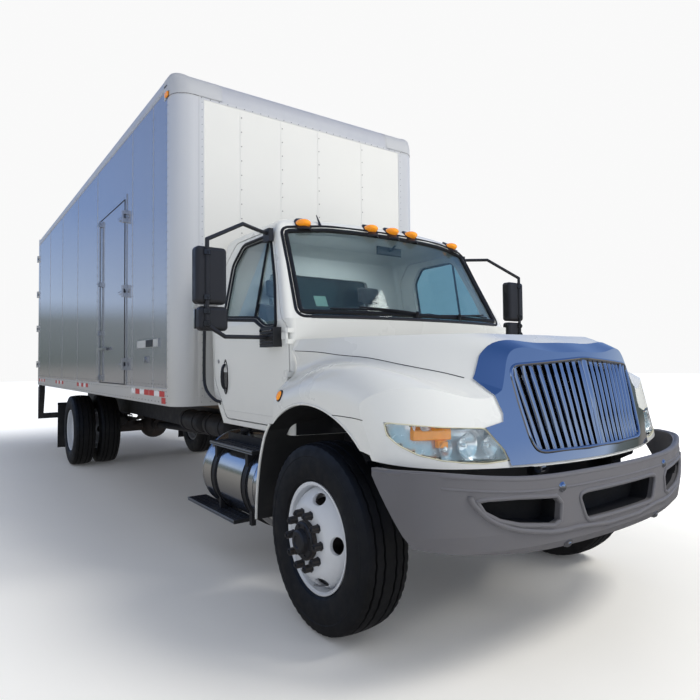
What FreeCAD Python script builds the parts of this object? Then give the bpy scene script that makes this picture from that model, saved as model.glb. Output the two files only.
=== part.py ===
"""Box truck: a conventional-cab medium-duty truck with a 26 ft dry freight body.

Millimetres, +X forward, +Y to the truck's left, +Z up. The origin is on the ground,
at the middle of the overall length and width. Places along X are given from the
front axle ("ahead of the axle" is positive) and moved to the row frame by ax().
"""
import FreeCAD, Part
import math
import os
from FreeCAD import Vector as V

# Driving dimensions: the whole truck
WHEELBASE = 6870.0
FRONT_OVERHANG = 1130.0      # front axle to the bumper's foremost point
REAR_OVERHANG = 3092.0       # rear axle to the rear step's edge
OVERALL_LENGTH = FRONT_OVERHANG + WHEELBASE + REAR_OVERHANG
FRONT_AXLE_X = OVERALL_LENGTH / 2 - FRONT_OVERHANG
REAR_AXLE = -WHEELBASE       # all these places are from the front axle

# Wheels and tyres: 11R22.5 on 8.25 inch discs
TYRE_R = 510.0
TYRE_W = 279.0
TYRE_CROWN_DROP = 14.0
RIM_SEAT_R = 286.0
RIM_FLANGE_R = 298.0
RIM_W = 238.0
RIM_T = 9.0
DISC_T = 12.0
DISC_OUTSET = 168.0          # disc's mounting face from the rim's middle
HAND_HOLES = 5
HAND_HOLE_R = 31.0
HAND_HOLE_PCR = 208.0
HUB_R = 103.0
HUB_NOSE_FRONT = 22.0        # hubs past the discs' mounting face
HUB_NOSE_REAR = 84.0
LUGS = 10
LUG_PCR = 142.9
LUG_R = 19.0
LUG_LENGTH = 45.0
STUD_R = 11.0
FLANGE_T = 30.0
DRUM_R = 205.0
FRONT_WHEEL_Y = 1009.0
REAR_HUB_FACE_Y = 908.0      # where the two rear discs meet
KINGPIN_Y = 838.0
BEARING_GAP = 0.3            # between a spindle and the hub that turns on it
SPINDLE_R = 45.0

# Ladder frame
RAIL_TOP = 990.0
RAIL_H = 257.0
RAIL_OUT_Y = 432.0
RAIL_FLANGE = 80.0
RAIL_T = 9.0
RAIL_FRONT = 870.0
RAIL_REAR_INSET = 60.0       # rails end this far ahead of the body's rear
CROSSMEMBER_H = 170.0
CROSSMEMBER_W = 70.0

# Cab
CAB_REAR = -1788.0
CAB_FRONT = -450.0           # at the cab's sides
CAB_BULGE = 150.0            # how far the middle of the front stands ahead of its sides
CAB_BOTTOM = 1005.0
CAB_HEEL_X = -1545.0         # where the rear wall's lower part meets the bottom
CAB_HEEL_Z = 1345.0          # and where it leaves the upright
CAB_FRONT_R = 45.0
CAB_BELT = 1735.0
CAB_HALF_LOW = 1008.0
CAB_HALF = 1030.0
CAB_HALF_ROOF = 905.0
CAB_WALL = 55.0
CAB_FLOOR = 60.0
CAB_ROOF_EDGE = 2400.0
ROOF_TOP = 2510.0
WINDSCREEN_RAKE = 345.0      # how far the screen leans back over its height
COWL_LEDGE = 40.0
DOOR_FRONT = -472.0
DOOR_REAR = -1700.0
DOOR_TOP = 2402.0
DOOR_BOTTOM = 1040.0
DOOR_GAP = 8.0
DOOR_OPEN_Y_IN = 600.0       # door cuts reach in to here
GLASS_T = 6.0
GLASS_INSET = 14.0

# Bonnet and nose
BONNET_T = 14.0
BONNET_BOTTOM = 950.0
BONNET_GAP = 12.0
ARCH_R = 715.0
ARCH_X = -25.0               # the arches' middle, a little behind the axle
LINER_T = 16.0
LINER_IN_Y = 760.0
SKIRT_OUT_Y = 1165.0
SKIRT_T = 13.0
BONNET_PIVOT_X = 930.0
BONNET_PIVOT_Z = 930.0
BONNET_PIN_R = 12.0
PIN_GAP = 0.3

# Bumper
BUMPER_TOP = 985.0            # before its edges are trimmed
BUMPER_BOTTOM = 585.0
BUMPER_T = 28.0
BUMPER_HALF = 1185.0
BRACKET_Z = 795.0
BRACKET_H = 70.0
TOW_BORE_X = 975.0
TOW_BORE_R = 20.0

# Freight body
BODY_FRONT = -1877.0
BODY_LENGTH = 7925.0
BODY_REAR = BODY_FRONT - BODY_LENGTH
BODY_HALF = 1275.0
BODY_BOTTOM = 1118.0
BODY_TOP = 3860.0
BODY_WALL = 30.0
FLOOR_TOP = 1250.0
FLOOR_T = 35.0
SIDE_RAIL_TOP = 1258.0
TOP_RAIL_H = 120.0
TOP_RAIL_W = 60.0
CORNER = 194.0               # size of the corner posts, caps and front top rail
CORNER_R = 150.0
ROOF_T = 25.0
CROSS_SILL_PITCH = 406.0
CROSS_SILL_W = 60.0
REAR_FRAME_D = 50.0
REAR_POST_W = 60.0
REAR_DOOR_T = 45.0
PANEL_GAP = 5.0
HINGE_OUT = 14.0             # rear hinge pins outboard of the body's side
HINGE_BACK = 32.0            # and behind the doors' outer face
PIN_R = 7.0
BARREL_R = 13.0
KNUCKLE_HALF = 20.0
KNUCKLE_GAP = 0.5
KNUCKLE_END = 60.0
SIDE_HINGE_AHEAD = 22.0
LOCK_ROD_R = 12.0
ROD_STAND = 20.0             # lock rod's axis from the door's face
SIDE_DOOR_REAR = -4500.0
SIDE_DOOR_FRONT = -3390.0
SIDE_DOOR_BOTTOM = 1262.0
SIDE_DOOR_TOP = 3130.0
SIDE_FRAME_W = 45.0
SIDE_FRAME_T = 8.0
SIDE_HINGE_OUT = 35.0

# Tank, steps and boxes between the axles
TANK_R = 300.0
TANK_Y = 810.0
TANK_Z = 630.0
TANK_FRONT = -790.0
TANK_REAR = -1728.0
STRAPS_X = (-1486.0, -950.0)
STRAP_W = 78.0
STRAP_T = 6.0
LOW_STEP_Z = 375.0
LOW_STEP_OUT_Y = 1122.0
LOW_STEP_D = 150.0
LOW_STEP_X = (-2010.0, -1085.0)
HIGH_STEP_Z = 886.0
HIGH_STEP_OUT_Y = 1132.0
HIGH_STEP_X = (-1500.0, -770.0)
HIGH_STEP_LIFT = 52.0        # flange along the high step's inner edge
STEP_T = 26.0


def ax(x):
    """X in the row frame of a place given from the front axle."""
    return FRONT_AXLE_X + x


def box(x0, x1, y0, y1, z0, z1):
    """A block between two X (from the front axle), two Y and two Z."""
    corner = V(ax(min(x0, x1)), min(y0, y1), min(z0, z1))
    return Part.makeBox(abs(x1 - x0), abs(y1 - y0), abs(z1 - z0), corner)


def cyl_y(x, z, r, y0, y1):
    return Part.makeCylinder(r, y1 - y0, V(ax(x), y0, z), V(0, 1, 0))


def cyl_z(x, y, r, z0, z1):
    return Part.makeCylinder(r, z1 - z0, V(ax(x), y, z0), V(0, 0, 1))


def cyl_x(y, z, r, x0, x1):
    return Part.makeCylinder(r, x1 - x0, V(ax(x0), y, z), V(1, 0, 0))


def fuse(shapes):
    """One shape out of several that overlap or touch."""
    first, rest = shapes[0], shapes[1:]
    return first.multiFuse(rest).removeSplitter() if rest else first


def other_side(shape):
    """The shape mirrored to the truck's other side."""
    return shape.mirror(V(0, 0, 0), V(0, 1, 0))


def both_sides(shape):
    return [shape, other_side(shape)]


def prism(points, axis, start, end):
    """A polygon pushed along an axis. Points are (x, z) for axis "y", (y, z) for "x" and (x, y) for "z"."""
    place = {
        "y": lambda a, b, c: V(ax(a), c, b),
        "x": lambda a, b, c: V(ax(c), a, b),
        "z": lambda a, b, c: V(ax(a), b, c),
    }[axis]
    push = {"y": V(0, end - start, 0), "x": V(end - start, 0, 0), "z": V(0, 0, end - start)}[axis]
    ring = [place(a, b, start) for a, b in points]
    return Part.Face(Part.makePolygon(ring + ring[:1])).extrude(push)


def rounded(points, radius):
    """The polygon's corners cut to short three-point rounds of about the given radius."""
    out = []
    count = len(points)
    for i, (px, py) in enumerate(points):
        before, after = points[i - 1], points[(i + 1) % count]
        ends = []
        for qx, qy in (before, after):
            length = math.hypot(qx - px, qy - py)
            step = min(radius, 0.45 * length)
            ends.append((px + (qx - px) * step / length, py + (qy - py) * step / length))
        (ax0, ay0), (bx0, by0) = ends
        middle = (0.25 * ax0 + 0.5 * px + 0.25 * bx0, 0.25 * ay0 + 0.5 * py + 0.25 * by0)
        out += [ends[0], middle, ends[1]]
    return out


def spline(points):
    curve = Part.BSplineCurve()
    curve.interpolate(points)
    return curve.toShape()


def line(a, b):
    return Part.LineSegment(a, b).toShape()


def hexahedron(p0, p1, half_w, half_d, across=V(0, 1, 0)):
    """A bar of rectangular section from p0 to p1."""
    along = (p1 - p0).normalize()
    depth = along.cross(across).normalize()
    rings = []
    for p in (p0, p1):
        ring = [p + across * (half_w * a) + depth * (half_d * b) for a, b in ((-1, -1), (1, -1), (1, 1), (-1, 1))]
        rings.append(Part.makePolygon(ring + ring[:1]))
    return Part.makeLoft(rings, True, True)


def tube_path(points, radius):
    """A round bar along straight runs with a ball at each bend."""
    pieces = []
    for a, b in zip(points, points[1:]):
        pieces.append(Part.makeCylinder(radius, (b - a).Length, a, b - a))
    for p in points[1:-1]:
        pieces.append(Part.makeSphere(radius, p))
    return fuse(pieces)


def export(name, shape):
    """Writes one sub-part. A compound of solids keeps them apart."""
    solids = shape.Solids
    if not solids:
        raise ValueError(f"{name} has no solid")
    for s in solids:
        if not s.isValid() or s.Volume <= 0:
            raise ValueError(f"{name}: bad solid, volume {s.Volume}")
    whole = solids[0] if len(solids) == 1 else Part.makeCompound(solids)
    whole.exportStep(f"parts/{name}.step")
    print(f"{name:24s} solids {len(solids)}  litres {whole.Volume / 1e6:.2f}", flush=True)


# Wheels

def revolve_y(profile, x, z):
    """A closed (y, radius) profile turned about the axle through (x, z)."""
    ring = [V(ax(x), y, z + r) for y, r in profile]
    face = Part.Face(Part.makePolygon(ring + ring[:1]))
    return face.revolve(V(ax(x), 0, z), V(0, 1, 0), 360)


def tyre(x, y):
    """A tyre whose middle is at y: bead, bulged sidewalls, shoulders and a slightly crowned tread."""
    half, r = TYRE_W / 2, TYRE_R
    bead, mid = RIM_SEAT_R, RIM_SEAT_R + 0.45 * (TYRE_R - RIM_SEAT_R)
    seat = RIM_W / 2 - RIM_T
    side = [
        (seat - 5, bead), (seat - 1, RIM_FLANGE_R + 1), (half * 0.93, RIM_FLANGE_R + 14),
        (half * 0.985, mid - 35), (half, mid), (half * 0.985, mid + 40), (half * 0.93, r - 52),
        (half * 0.86, r - TYRE_CROWN_DROP - 10), (half * 0.80, r - TYRE_CROWN_DROP), (half * 0.40, r - 3),
    ]
    right = [(y + a, b) for a, b in side]
    left = [(y - a, b) for a, b in reversed(side)]
    return revolve_y(right + [(y, r)] + left, x, TYRE_R)


def rim(x, y, outward):
    """A steel disc wheel. outward is the Y sign towards which its dished disc bulges."""
    half, seat, flange, t = RIM_W / 2, RIM_SEAT_R - 0.3, RIM_FLANGE_R, RIM_T
    well = seat - 34
    barrel_out = [
        (-half, flange), (-half + t, flange), (-half + t + 4, seat), (-half + 62, seat - 6),
        (-half + 84, well), (half - 84, well), (half - 62, seat - 6), (half - t - 4, seat),
        (half - t, flange), (half, flange), (half, seat - 12), (half - 58, seat - 6 - t),
        (half - 80, well - t), (-half + 80, well - t), (-half + 58, seat - 6 - t), (-half, seat - 12),
    ]
    barrel = revolve_y([(y + outward * a, b) for a, b in barrel_out], x, TYRE_R)
    face, d, bore = DISC_OUTSET, DISC_T, HUB_R + BEARING_GAP
    disc_profile = [
        (face, bore), (face, 172.0), (face - 26, 196.0), (face - 136, well - t + 3),
        (face - 136 - d * 1.3, well - t + 3), (face - 26 - d * 1.2, 190.0), (face - d, 168.0), (face - d, bore),
    ]
    disc = revolve_y([(y + outward * a, b) for a, b in disc_profile], x, TYRE_R)
    wheel = fuse([barrel, disc])
    for i in range(HAND_HOLES):
        angle = 2 * math.pi * i / HAND_HOLES + math.pi / 2
        cx = x + HAND_HOLE_PCR * math.cos(angle)
        cz = TYRE_R + HAND_HOLE_PCR * math.sin(angle)
        low, high = sorted((y + outward * (face - 150), y + outward * (face + 40)))
        wheel = wheel.cut(cyl_y(cx, cz, HAND_HOLE_R, low, high))
    low, high = sorted((y + outward * (face - 2 * d), y + outward * (face + d)))
    studs = [cyl_y(cx, cz, STUD_R + BEARING_GAP, low, high) for cx, cz in lug_places(x)]
    return wheel.cut(Part.makeCompound(studs))


def lug_places(x):
    """Where the studs stand round the axle at x."""
    angles = [2 * math.pi * i / LUGS for i in range(LUGS)]
    return [(x + LUG_PCR * math.cos(a), TYRE_R + LUG_PCR * math.sin(a)) for a in angles]


def hub(x, face_y, sign, seat, nose, drum_from, drum_to):
    """Hub, studs, nuts and brake drum of one wheel. sign is +1 on the left, seat is where the nuts sit."""
    def y_range(a, b):
        return sorted((face_y + sign * a, face_y + sign * b))

    pieces = [cyl_y(x, TYRE_R, HUB_R, *y_range(-DISC_T, nose))]
    for cx, cz in lug_places(x):
        pieces.append(cyl_y(cx, cz, STUD_R, *y_range(-DISC_T - 5, seat + 5)))
        pieces.append(cyl_y(cx, cz, LUG_R, *y_range(seat, seat + LUG_LENGTH)))
    pieces.append(cyl_y(x, TYRE_R, LUG_PCR + LUG_R, *y_range(-DISC_T - FLANGE_T, -DISC_T)))
    drum = cyl_y(x, TYRE_R, DRUM_R, *sorted((sign * drum_from, sign * drum_to)))
    bore = cyl_y(x, TYRE_R, DRUM_R - 22, *sorted((sign * (drum_from - 1), sign * (drum_to - 20))))
    pieces.append(drum.cut(bore))
    neck = sorted((sign * (drum_to - 20), face_y - sign * DISC_T))
    pieces.append(cyl_y(x, TYRE_R, HUB_R + 30, *neck))
    return fuse(pieces)


def front_wheel(sign):
    """Tyre, rim and hub of one front wheel."""
    y = sign * FRONT_WHEEL_Y
    face = y + sign * DISC_OUTSET
    drum_in = FRONT_WHEEL_Y - RIM_W / 2 + 30
    body = hub(0, face, sign, 0.0, HUB_NOSE_FRONT, drum_in, drum_in + 120)
    bore_y = sorted((sign * (drum_in - 5), face - sign * (DISC_T - 4)))
    bearing = cyl_y(0, TYRE_R, SPINDLE_R + BEARING_GAP, *bore_y)
    return tyre(0, y), rim(0, y, sign), body.cut(bearing)


def rear_wheels(sign):
    """The two tyres, the two rims that meet at their discs, and their hub."""
    outer = sign * (REAR_HUB_FACE_Y + DISC_OUTSET)
    inner = sign * (REAR_HUB_FACE_Y - DISC_OUTSET)
    tyres = Part.makeCompound([tyre(REAR_AXLE, outer), tyre(REAR_AXLE, inner)])
    rims = fuse([rim(REAR_AXLE, outer, -sign), rim(REAR_AXLE, inner, sign)])
    drum_in = REAR_HUB_FACE_Y - DISC_OUTSET - RIM_W / 2 + 40
    body = hub(REAR_AXLE, sign * REAR_HUB_FACE_Y, sign, DISC_T, HUB_NOSE_REAR, drum_in, drum_in + 158)
    bearing = cyl_y(REAR_AXLE, TYRE_R, SPINDLE_R + BEARING_GAP,
                    *sorted((sign * (drum_in - 5), sign * (REAR_HUB_FACE_Y + 30))))
    return tyres, rims, body.cut(bearing)


# Axles, springs and steering

def front_axle():
    """Forged I-beam with a dropped middle, spring pads and an eye at each end for the kingpin."""
    beam_z, beam_h = 455.0, 92.0
    web = box(-14, 14, -(KINGPIN_Y - 60), KINGPIN_Y - 60, beam_z - beam_h / 2, beam_z + beam_h / 2)
    top = box(-45, 45, -(KINGPIN_Y - 60), KINGPIN_Y - 60, beam_z + beam_h / 2 - 20, beam_z + beam_h / 2)
    bottom = box(-45, 45, -(KINGPIN_Y - 60), KINGPIN_Y - 60, beam_z - beam_h / 2, beam_z - beam_h / 2 + 20)
    pieces = [web, top, bottom]
    for s in (-1, 1):
        y = sorted((s * (KINGPIN_Y - 70), s * KINGPIN_Y))
        pieces.append(box(-40, 40, *y, KINGPIN_EYE_BOTTOM, KINGPIN_EYE_TOP))
        pieces.append(cyl_z(0, s * KINGPIN_Y, 40, KINGPIN_EYE_BOTTOM, KINGPIN_EYE_TOP))
        pad = sorted((s * (SPRING_Y - 50), s * (SPRING_Y + 50)))
        pieces.append(box(-75, 75, *pad, beam_z + beam_h / 2 - 10, FRONT_SPRING_SEAT))
    axle = fuse(pieces)
    for s in (-1, 1):
        axle = axle.cut(cyl_z(0, s * KINGPIN_Y, KINGPIN_R + PIN_GAP, KINGPIN_EYE_BOTTOM - 5, KINGPIN_EYE_TOP + 5))
    return axle


KINGPIN_R = 22.0
KINGPIN_EYE_BOTTOM = 455.0
KINGPIN_EYE_TOP = 565.0
SPRING_Y = 392.0
SPRING_W = 76.0
FRONT_SPRING_SEAT = 520.0
TIE_BACK = 200.0
TIE_Z = 388.0
TIE_ROD_R = 19.0
BALL_R = 21.0


def knuckle(s):
    """Steering knuckle: a yoke over the beam's eye, its kingpin, spindle, brake plate and arm."""
    y = s * KINGPIN_Y
    gap = 1.0
    pieces = [
        cyl_z(0, y, KINGPIN_R, KINGPIN_EYE_BOTTOM - 45, KINGPIN_EYE_TOP + 45),
        cyl_z(0, y, 42, KINGPIN_EYE_TOP + gap, KINGPIN_EYE_TOP + 45),
        cyl_z(0, y, 42, KINGPIN_EYE_BOTTOM - 45, KINGPIN_EYE_BOTTOM - gap),
    ]
    plate = sorted((s * (KINGPIN_Y + 46), s * (KINGPIN_Y + 66)))
    pieces.append(box(-60, 60, *plate, KINGPIN_EYE_BOTTOM - 45, KINGPIN_EYE_TOP + 45))
    link = sorted((y, s * (KINGPIN_Y + 50)))
    pieces.append(box(-36, 36, *link, KINGPIN_EYE_TOP + gap, KINGPIN_EYE_TOP + 45))
    pieces.append(box(-36, 36, *link, KINGPIN_EYE_BOTTOM - 45, KINGPIN_EYE_BOTTOM - gap))
    spindle = sorted((s * (KINGPIN_Y + 60), s * (FRONT_WHEEL_Y + DISC_OUTSET - DISC_T)))
    pieces.append(cyl_y(0, TYRE_R, SPINDLE_R, *spindle))
    arm_top = KINGPIN_EYE_BOTTOM - 10
    pieces.append(box(-TIE_BACK, 0, y - 20, y + 20, arm_top - 28, arm_top - 2))
    pieces.append(cyl_z(-TIE_BACK, y, 12, TIE_Z - 14, arm_top - 2))
    pieces.append(cyl_z(-TIE_BACK, y, 20, arm_top - 28, arm_top - 2))
    return fuse(pieces)


def tie_rod():
    """Track rod between the two steering arms, with a socket round each ball stud."""
    rod = cyl_y(-TIE_BACK, TIE_Z, TIE_ROD_R, -(KINGPIN_Y - 15), KINGPIN_Y - 15)
    pieces = [rod]
    for s in (-1, 1):
        pieces.append(cyl_z(-TIE_BACK, s * KINGPIN_Y, BALL_R + 2, TIE_Z - 22, TIE_Z + 3))
    whole = fuse(pieces)
    for s in (-1, 1):
        whole = whole.cut(cyl_z(-TIE_BACK, s * KINGPIN_Y, 12 + PIN_GAP, TIE_Z - 15, TIE_Z + 20))
    return whole


def rear_axle():
    """Banjo housing with its differential bowl, tubes and the spindles the wheels turn on."""
    pieces = [cyl_y(REAR_AXLE, TYRE_R, 82, -560, 560)]
    pieces.append(Part.makeSphere(205, V(ax(REAR_AXLE), 0, TYRE_R)))
    pieces.append(cyl_x(0, TYRE_R + 20, 95, REAR_AXLE, REAR_AXLE + PINION_AHEAD))
    pieces.append(cyl_y(REAR_AXLE, TYRE_R, SPINDLE_R, -(REAR_HUB_FACE_Y + 20), REAR_HUB_FACE_Y + 20))
    for s in (-1, 1):
        pad = sorted((s * (SPRING_Y - 50), s * (SPRING_Y + 50)))
        pieces.append(box(REAR_AXLE - 90, REAR_AXLE + 90, *pad, TYRE_R, REAR_SPRING_SEAT))
    return fuse(pieces)


REAR_SPRING_SEAT = 596.0
SPRING_HALF_F = 660.0
SPRING_HALF_R = 710.0
SPRING_RISE_F = 72.0
SPRING_RISE_R = 36.0
LEAF_T = 13.0


def leaf_spring(x, seat, half, rise, leaves, s):
    """A curved pack of leaves under a rail, with its eyes and the hangers up to the rail."""
    t = LEAF_T
    y0, y1 = sorted((s * (SPRING_Y - SPRING_W / 2), s * (SPRING_Y + SPRING_W / 2)))
    pieces = []
    for i in range(leaves):
        reach = half * (1 - 0.17 * i)
        base = seat + t * (leaves - 1 - i)
        lift = rise * (reach / half) ** 2
        low = [V(ax(x - reach), y0, base + lift), V(ax(x), y0, base), V(ax(x + reach), y0, base + lift)]
        high = [p + V(0, 0, t) for p in low]
        wire = Part.Wire([
            Part.Arc(*low).toShape(), line(low[2], high[2]),
            Part.Arc(high[2], high[1], high[0]).toShape(), line(high[0], low[0]),
        ])
        pieces.append(Part.Face(wire).extrude(V(0, y1 - y0, 0)))
    eye_z = seat + t * (leaves - 1) + rise + t / 2
    for end in (-1, 1):
        pieces.append(cyl_y(x + end * half, eye_z, 24, y0, y1))
        pieces.append(box(x + end * half - 22, x + end * half + 22, y0, y1, eye_z, RAIL_TOP - RAIL_H))
    return fuse(pieces)


def leaf_springs():
    springs = []
    for s in (-1, 1):
        springs.append(leaf_spring(0, FRONT_SPRING_SEAT, SPRING_HALF_F, SPRING_RISE_F, 4, s))
        springs.append(leaf_spring(REAR_AXLE, REAR_SPRING_SEAT, SPRING_HALF_R, SPRING_RISE_R, 5, s))
    return Part.makeCompound(springs)


def frame_rails():
    """The two channel rails, each with an end plate and an ear that holds the bonnet's hinge pin."""
    rear = BODY_REAR + RAIL_REAR_INSET
    bottom = RAIL_TOP - RAIL_H
    rails = []
    for s in (-1, 1):
        outer = box(rear, RAIL_FRONT, *sorted((s * RAIL_OUT_Y, s * (RAIL_OUT_Y - RAIL_FLANGE))), bottom, RAIL_TOP)
        inside = sorted((s * (RAIL_OUT_Y - RAIL_T), s * (RAIL_OUT_Y - RAIL_FLANGE - 5)))
        channel = outer.cut(box(rear - 5, RAIL_FRONT - 12, *inside, bottom + RAIL_T, RAIL_TOP - RAIL_T))
        ear_y = sorted((s * (BONNET_EAR_Y - EAR_T / 2), s * (BONNET_EAR_Y + EAR_T / 2)))
        ear = [(RAIL_FRONT, BONNET_PIVOT_Z - 60), (BONNET_PIVOT_X + 14, BONNET_PIVOT_Z - 22),
               (BONNET_PIVOT_X + 22, BONNET_PIVOT_Z), (BONNET_PIVOT_X + 14, BONNET_PIVOT_Z + 18),
               (BONNET_PIVOT_X - 14, BONNET_PIVOT_Z + 20), (RAIL_FRONT, BONNET_PIVOT_Z + 20)]
        pin = sorted((s * (BONNET_EAR_Y - EAR_T / 2), s * (BONNET_EAR_Y + EAR_T / 2 + LUG_T + 6)))
        hinge_pin = cyl_y(BONNET_PIVOT_X, BONNET_PIVOT_Z, BONNET_PIN_R, *pin)
        rails.append(fuse([channel, prism(ear, "y", *ear_y), hinge_pin]))
    return Part.makeCompound(rails)


def crossmember_places():
    """Where the cross members stand, clear of the engine bay and the rear axle's bowl."""
    first, last = RAIL_FRONT - 90, BODY_REAR + RAIL_REAR_INSET + 60
    places = [first + (last - first) * i / CROSSMEMBER_GAPS for i in range(CROSSMEMBER_GAPS + 1)]
    return [x for x in places if not ENGINE_REAR - 250 < x < RADIATOR_X - 60 and abs(x - REAR_AXLE) > 240]


def crossmembers():
    reach = RAIL_OUT_Y - RAIL_T
    z0 = CROSSMEMBER_BOTTOM
    bars = []
    for x in crossmember_places():
        outer = box(x - CROSSMEMBER_W / 2, x + CROSSMEMBER_W / 2, -reach, reach, z0, z0 + CROSSMEMBER_H)
        hollow = box(x - CROSSMEMBER_W / 2 + 8, x + CROSSMEMBER_W, -reach - 1, reach + 1, z0 + 8,
                     z0 + CROSSMEMBER_H - 8)
        ends = [box(x - CROSSMEMBER_W / 2, x + CROSSMEMBER_W / 2, *sorted((s * reach, s * (reach - 8))), z0,
                    z0 + CROSSMEMBER_H) for s in (-1, 1)]
        bars.append(fuse([outer.cut(hollow)] + ends))
    return Part.makeCompound(bars)


BONNET_EAR_Y = 372.0
EAR_T = 30.0
LUG_T = 30.0
CROSSMEMBER_GAPS = 9
CROSSMEMBER_BOTTOM = RAIL_TOP - RAIL_T - 20 - CROSSMEMBER_H
ENGINE_REAR = -270.0
ENGINE_FRONT = 560.0
RADIATOR_X = 700.0


def driveshaft():
    """Propeller shaft from the gearbox to the rear axle, with its centre bearing under a cross member."""
    front_z, rear_z = GEARBOX_Z, TYRE_R + 20
    start, end = V(ax(GEARBOX_REAR), 0, front_z), V(ax(REAR_AXLE + PINION_AHEAD), 0, rear_z)
    along = (end - start).normalize()
    start, end = start - along * 20, end + along * 20
    shaft = Part.makeCylinder(SHAFT_R, (end - start).Length, start, along)
    shaft = shaft.common(box(REAR_AXLE + PINION_AHEAD, GEARBOX_REAR, -200, 200, 200, 1200))
    middle_x = (GEARBOX_REAR + REAR_AXLE + PINION_AHEAD) / 2
    x = min(crossmember_places(), key=lambda place: abs(place - middle_x))
    share = (x - GEARBOX_REAR) / (REAR_AXLE + PINION_AHEAD - GEARBOX_REAR)
    z = front_z + (rear_z - front_z) * share
    bearing = box(x - 35, x + 35, -110, 110, z - 75, z + 75)
    hanger = box(x - 30, x + 30, -60, 60, z, CROSSMEMBER_BOTTOM)
    return fuse([shaft, bearing, hanger])


SHAFT_R = 48.0
PINION_AHEAD = 330.0
GEARBOX_REAR = -1290.0
GEARBOX_Z = 720.0


def engine():
    """Engine and gearbox as one plain block each, on mounts that reach the rails."""
    block = box(ENGINE_REAR, ENGINE_FRONT, -320, 320, 620, 1400)
    gearbox = box(GEARBOX_REAR, ENGINE_REAR, -200, 200, 620, 940)
    inner = RAIL_OUT_Y - RAIL_T
    mounts = box(100, 200, -inner, inner, 830, 900)
    rear_mount = box(-1010, -930, -inner, inner, 800, 860)
    return fuse([block, gearbox, mounts, rear_mount])


def radiator():
    """Radiator core with its side tanks, standing on a cross bar between the rails."""
    inner = RAIL_OUT_Y - RAIL_T
    core = box(RADIATOR_X - 30, RADIATOR_X + 30, -395, 395, 1005, 1380)
    lower = box(RADIATOR_X - 30, RADIATOR_X + 30, -345, 345, 770, 1005)
    bar = box(RADIATOR_X - 30, RADIATOR_X + 30, -inner, inner, 745, 775)
    return fuse([core, lower, bar])


# Cab

def cab_ring(z, half, x_rear, x_side, bulge, inset):
    """One closed level section of the cab: flat back, round corners, straight sides and a bowed front."""
    half, x_rear, x_side = half - inset, x_rear + inset, x_side - inset
    r_rear, r_front = max(90 - inset, 20), max(CAB_FRONT_R - inset, 20)
    cos45 = math.cos(math.pi / 4)

    def p(x, y):
        return V(ax(x), y, z)

    rear_mid = p(x_rear + r_rear * (1 - cos45), half - r_rear * (1 - cos45))
    front_mid = p(x_side - r_front * (1 - cos45), half - r_front * (1 - cos45))

    def flip(v):
        return V(v.x, -v.y, v.z)

    a, b = p(x_rear, half - r_rear), p(x_rear + r_rear, half)
    c, d = p(x_side - r_front, half), p(x_side, half - r_front)
    tip = p(x_side + bulge, 0)
    return Part.Wire([
        line(flip(a), a), Part.Arc(a, rear_mid, b).toShape(), line(b, c),
        Part.Arc(c, front_mid, d).toShape(), Part.Arc(d, tip, flip(d)).toShape(),
        Part.Arc(flip(d), flip(front_mid), flip(c)).toShape(), line(flip(c), flip(b)),
        Part.Arc(flip(b), flip(rear_mid), flip(a)).toShape(),
    ])


def cab_solid(inset, floor_lift=0.0):
    """The cab's outer form, or with an inset the form that much smaller all round."""
    low = [
        cab_ring(CAB_BOTTOM + floor_lift, CAB_HALF_LOW, CAB_REAR, CAB_FRONT, CAB_BULGE, inset),
        cab_ring(CAB_BELT, CAB_HALF, CAB_REAR, CAB_FRONT, CAB_BULGE, inset),
    ]
    screen_base = CAB_FRONT - COWL_LEDGE
    top_side = screen_base - WINDSCREEN_RAKE
    edge = CAB_ROOF_EDGE
    crown = ROOF_TOP - inset - edge
    steps = [(0.0, 0.0), (0.42, 0.07), (0.74, 0.20), (0.92, 0.42), (1.0, 0.78)]
    reach = 390.0                # how far in the roof's rounding runs
    high = [cab_ring(CAB_BELT, CAB_HALF, CAB_REAR, screen_base, CAB_BULGE, inset)]
    for rise, share in steps:
        z = edge + crown * rise
        shrink = reach * share
        rear, front = CAB_REAR + shrink * 0.8, top_side - shrink
        high.append(cab_ring(z, CAB_HALF_ROOF - shrink, rear, front, CAB_BULGE, inset))
    body = Part.makeLoft(low, True, True)
    house = Part.makeLoft(high[:2], True, True)
    roof = Part.makeLoft(high[1:], True, False)
    return fuse([body, house, roof]).cut(heel_cut(inset))


def heel_cut(inset):
    """What the slanted lower part of the rear wall leaves off, for a form moved in by the inset."""
    run, drop = CAB_HEEL_X - CAB_REAR, CAB_BOTTOM - CAB_HEEL_Z
    length = math.hypot(run, drop)
    ux, uz = run / length, drop / length
    x, z = CAB_REAR - uz * inset, CAB_HEEL_Z + ux * inset
    beyond = 300.0
    return prism([(x - ux * beyond, z - uz * beyond), (x + ux * (length + beyond), z + uz * (length + beyond)),
                  (CAB_REAR - 500, CAB_BOTTOM - 500)], "y", -CAB_HALF - 100, CAB_HALF + 100)


def screen_side_x(z):
    """Where the windscreen's side edge stands at a height."""
    share = (z - CAB_BELT) / (CAB_ROOF_EDGE - CAB_BELT)
    return CAB_FRONT - COWL_LEDGE - WINDSCREEN_RAKE * share


PILLAR_W = 66.0


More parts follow.
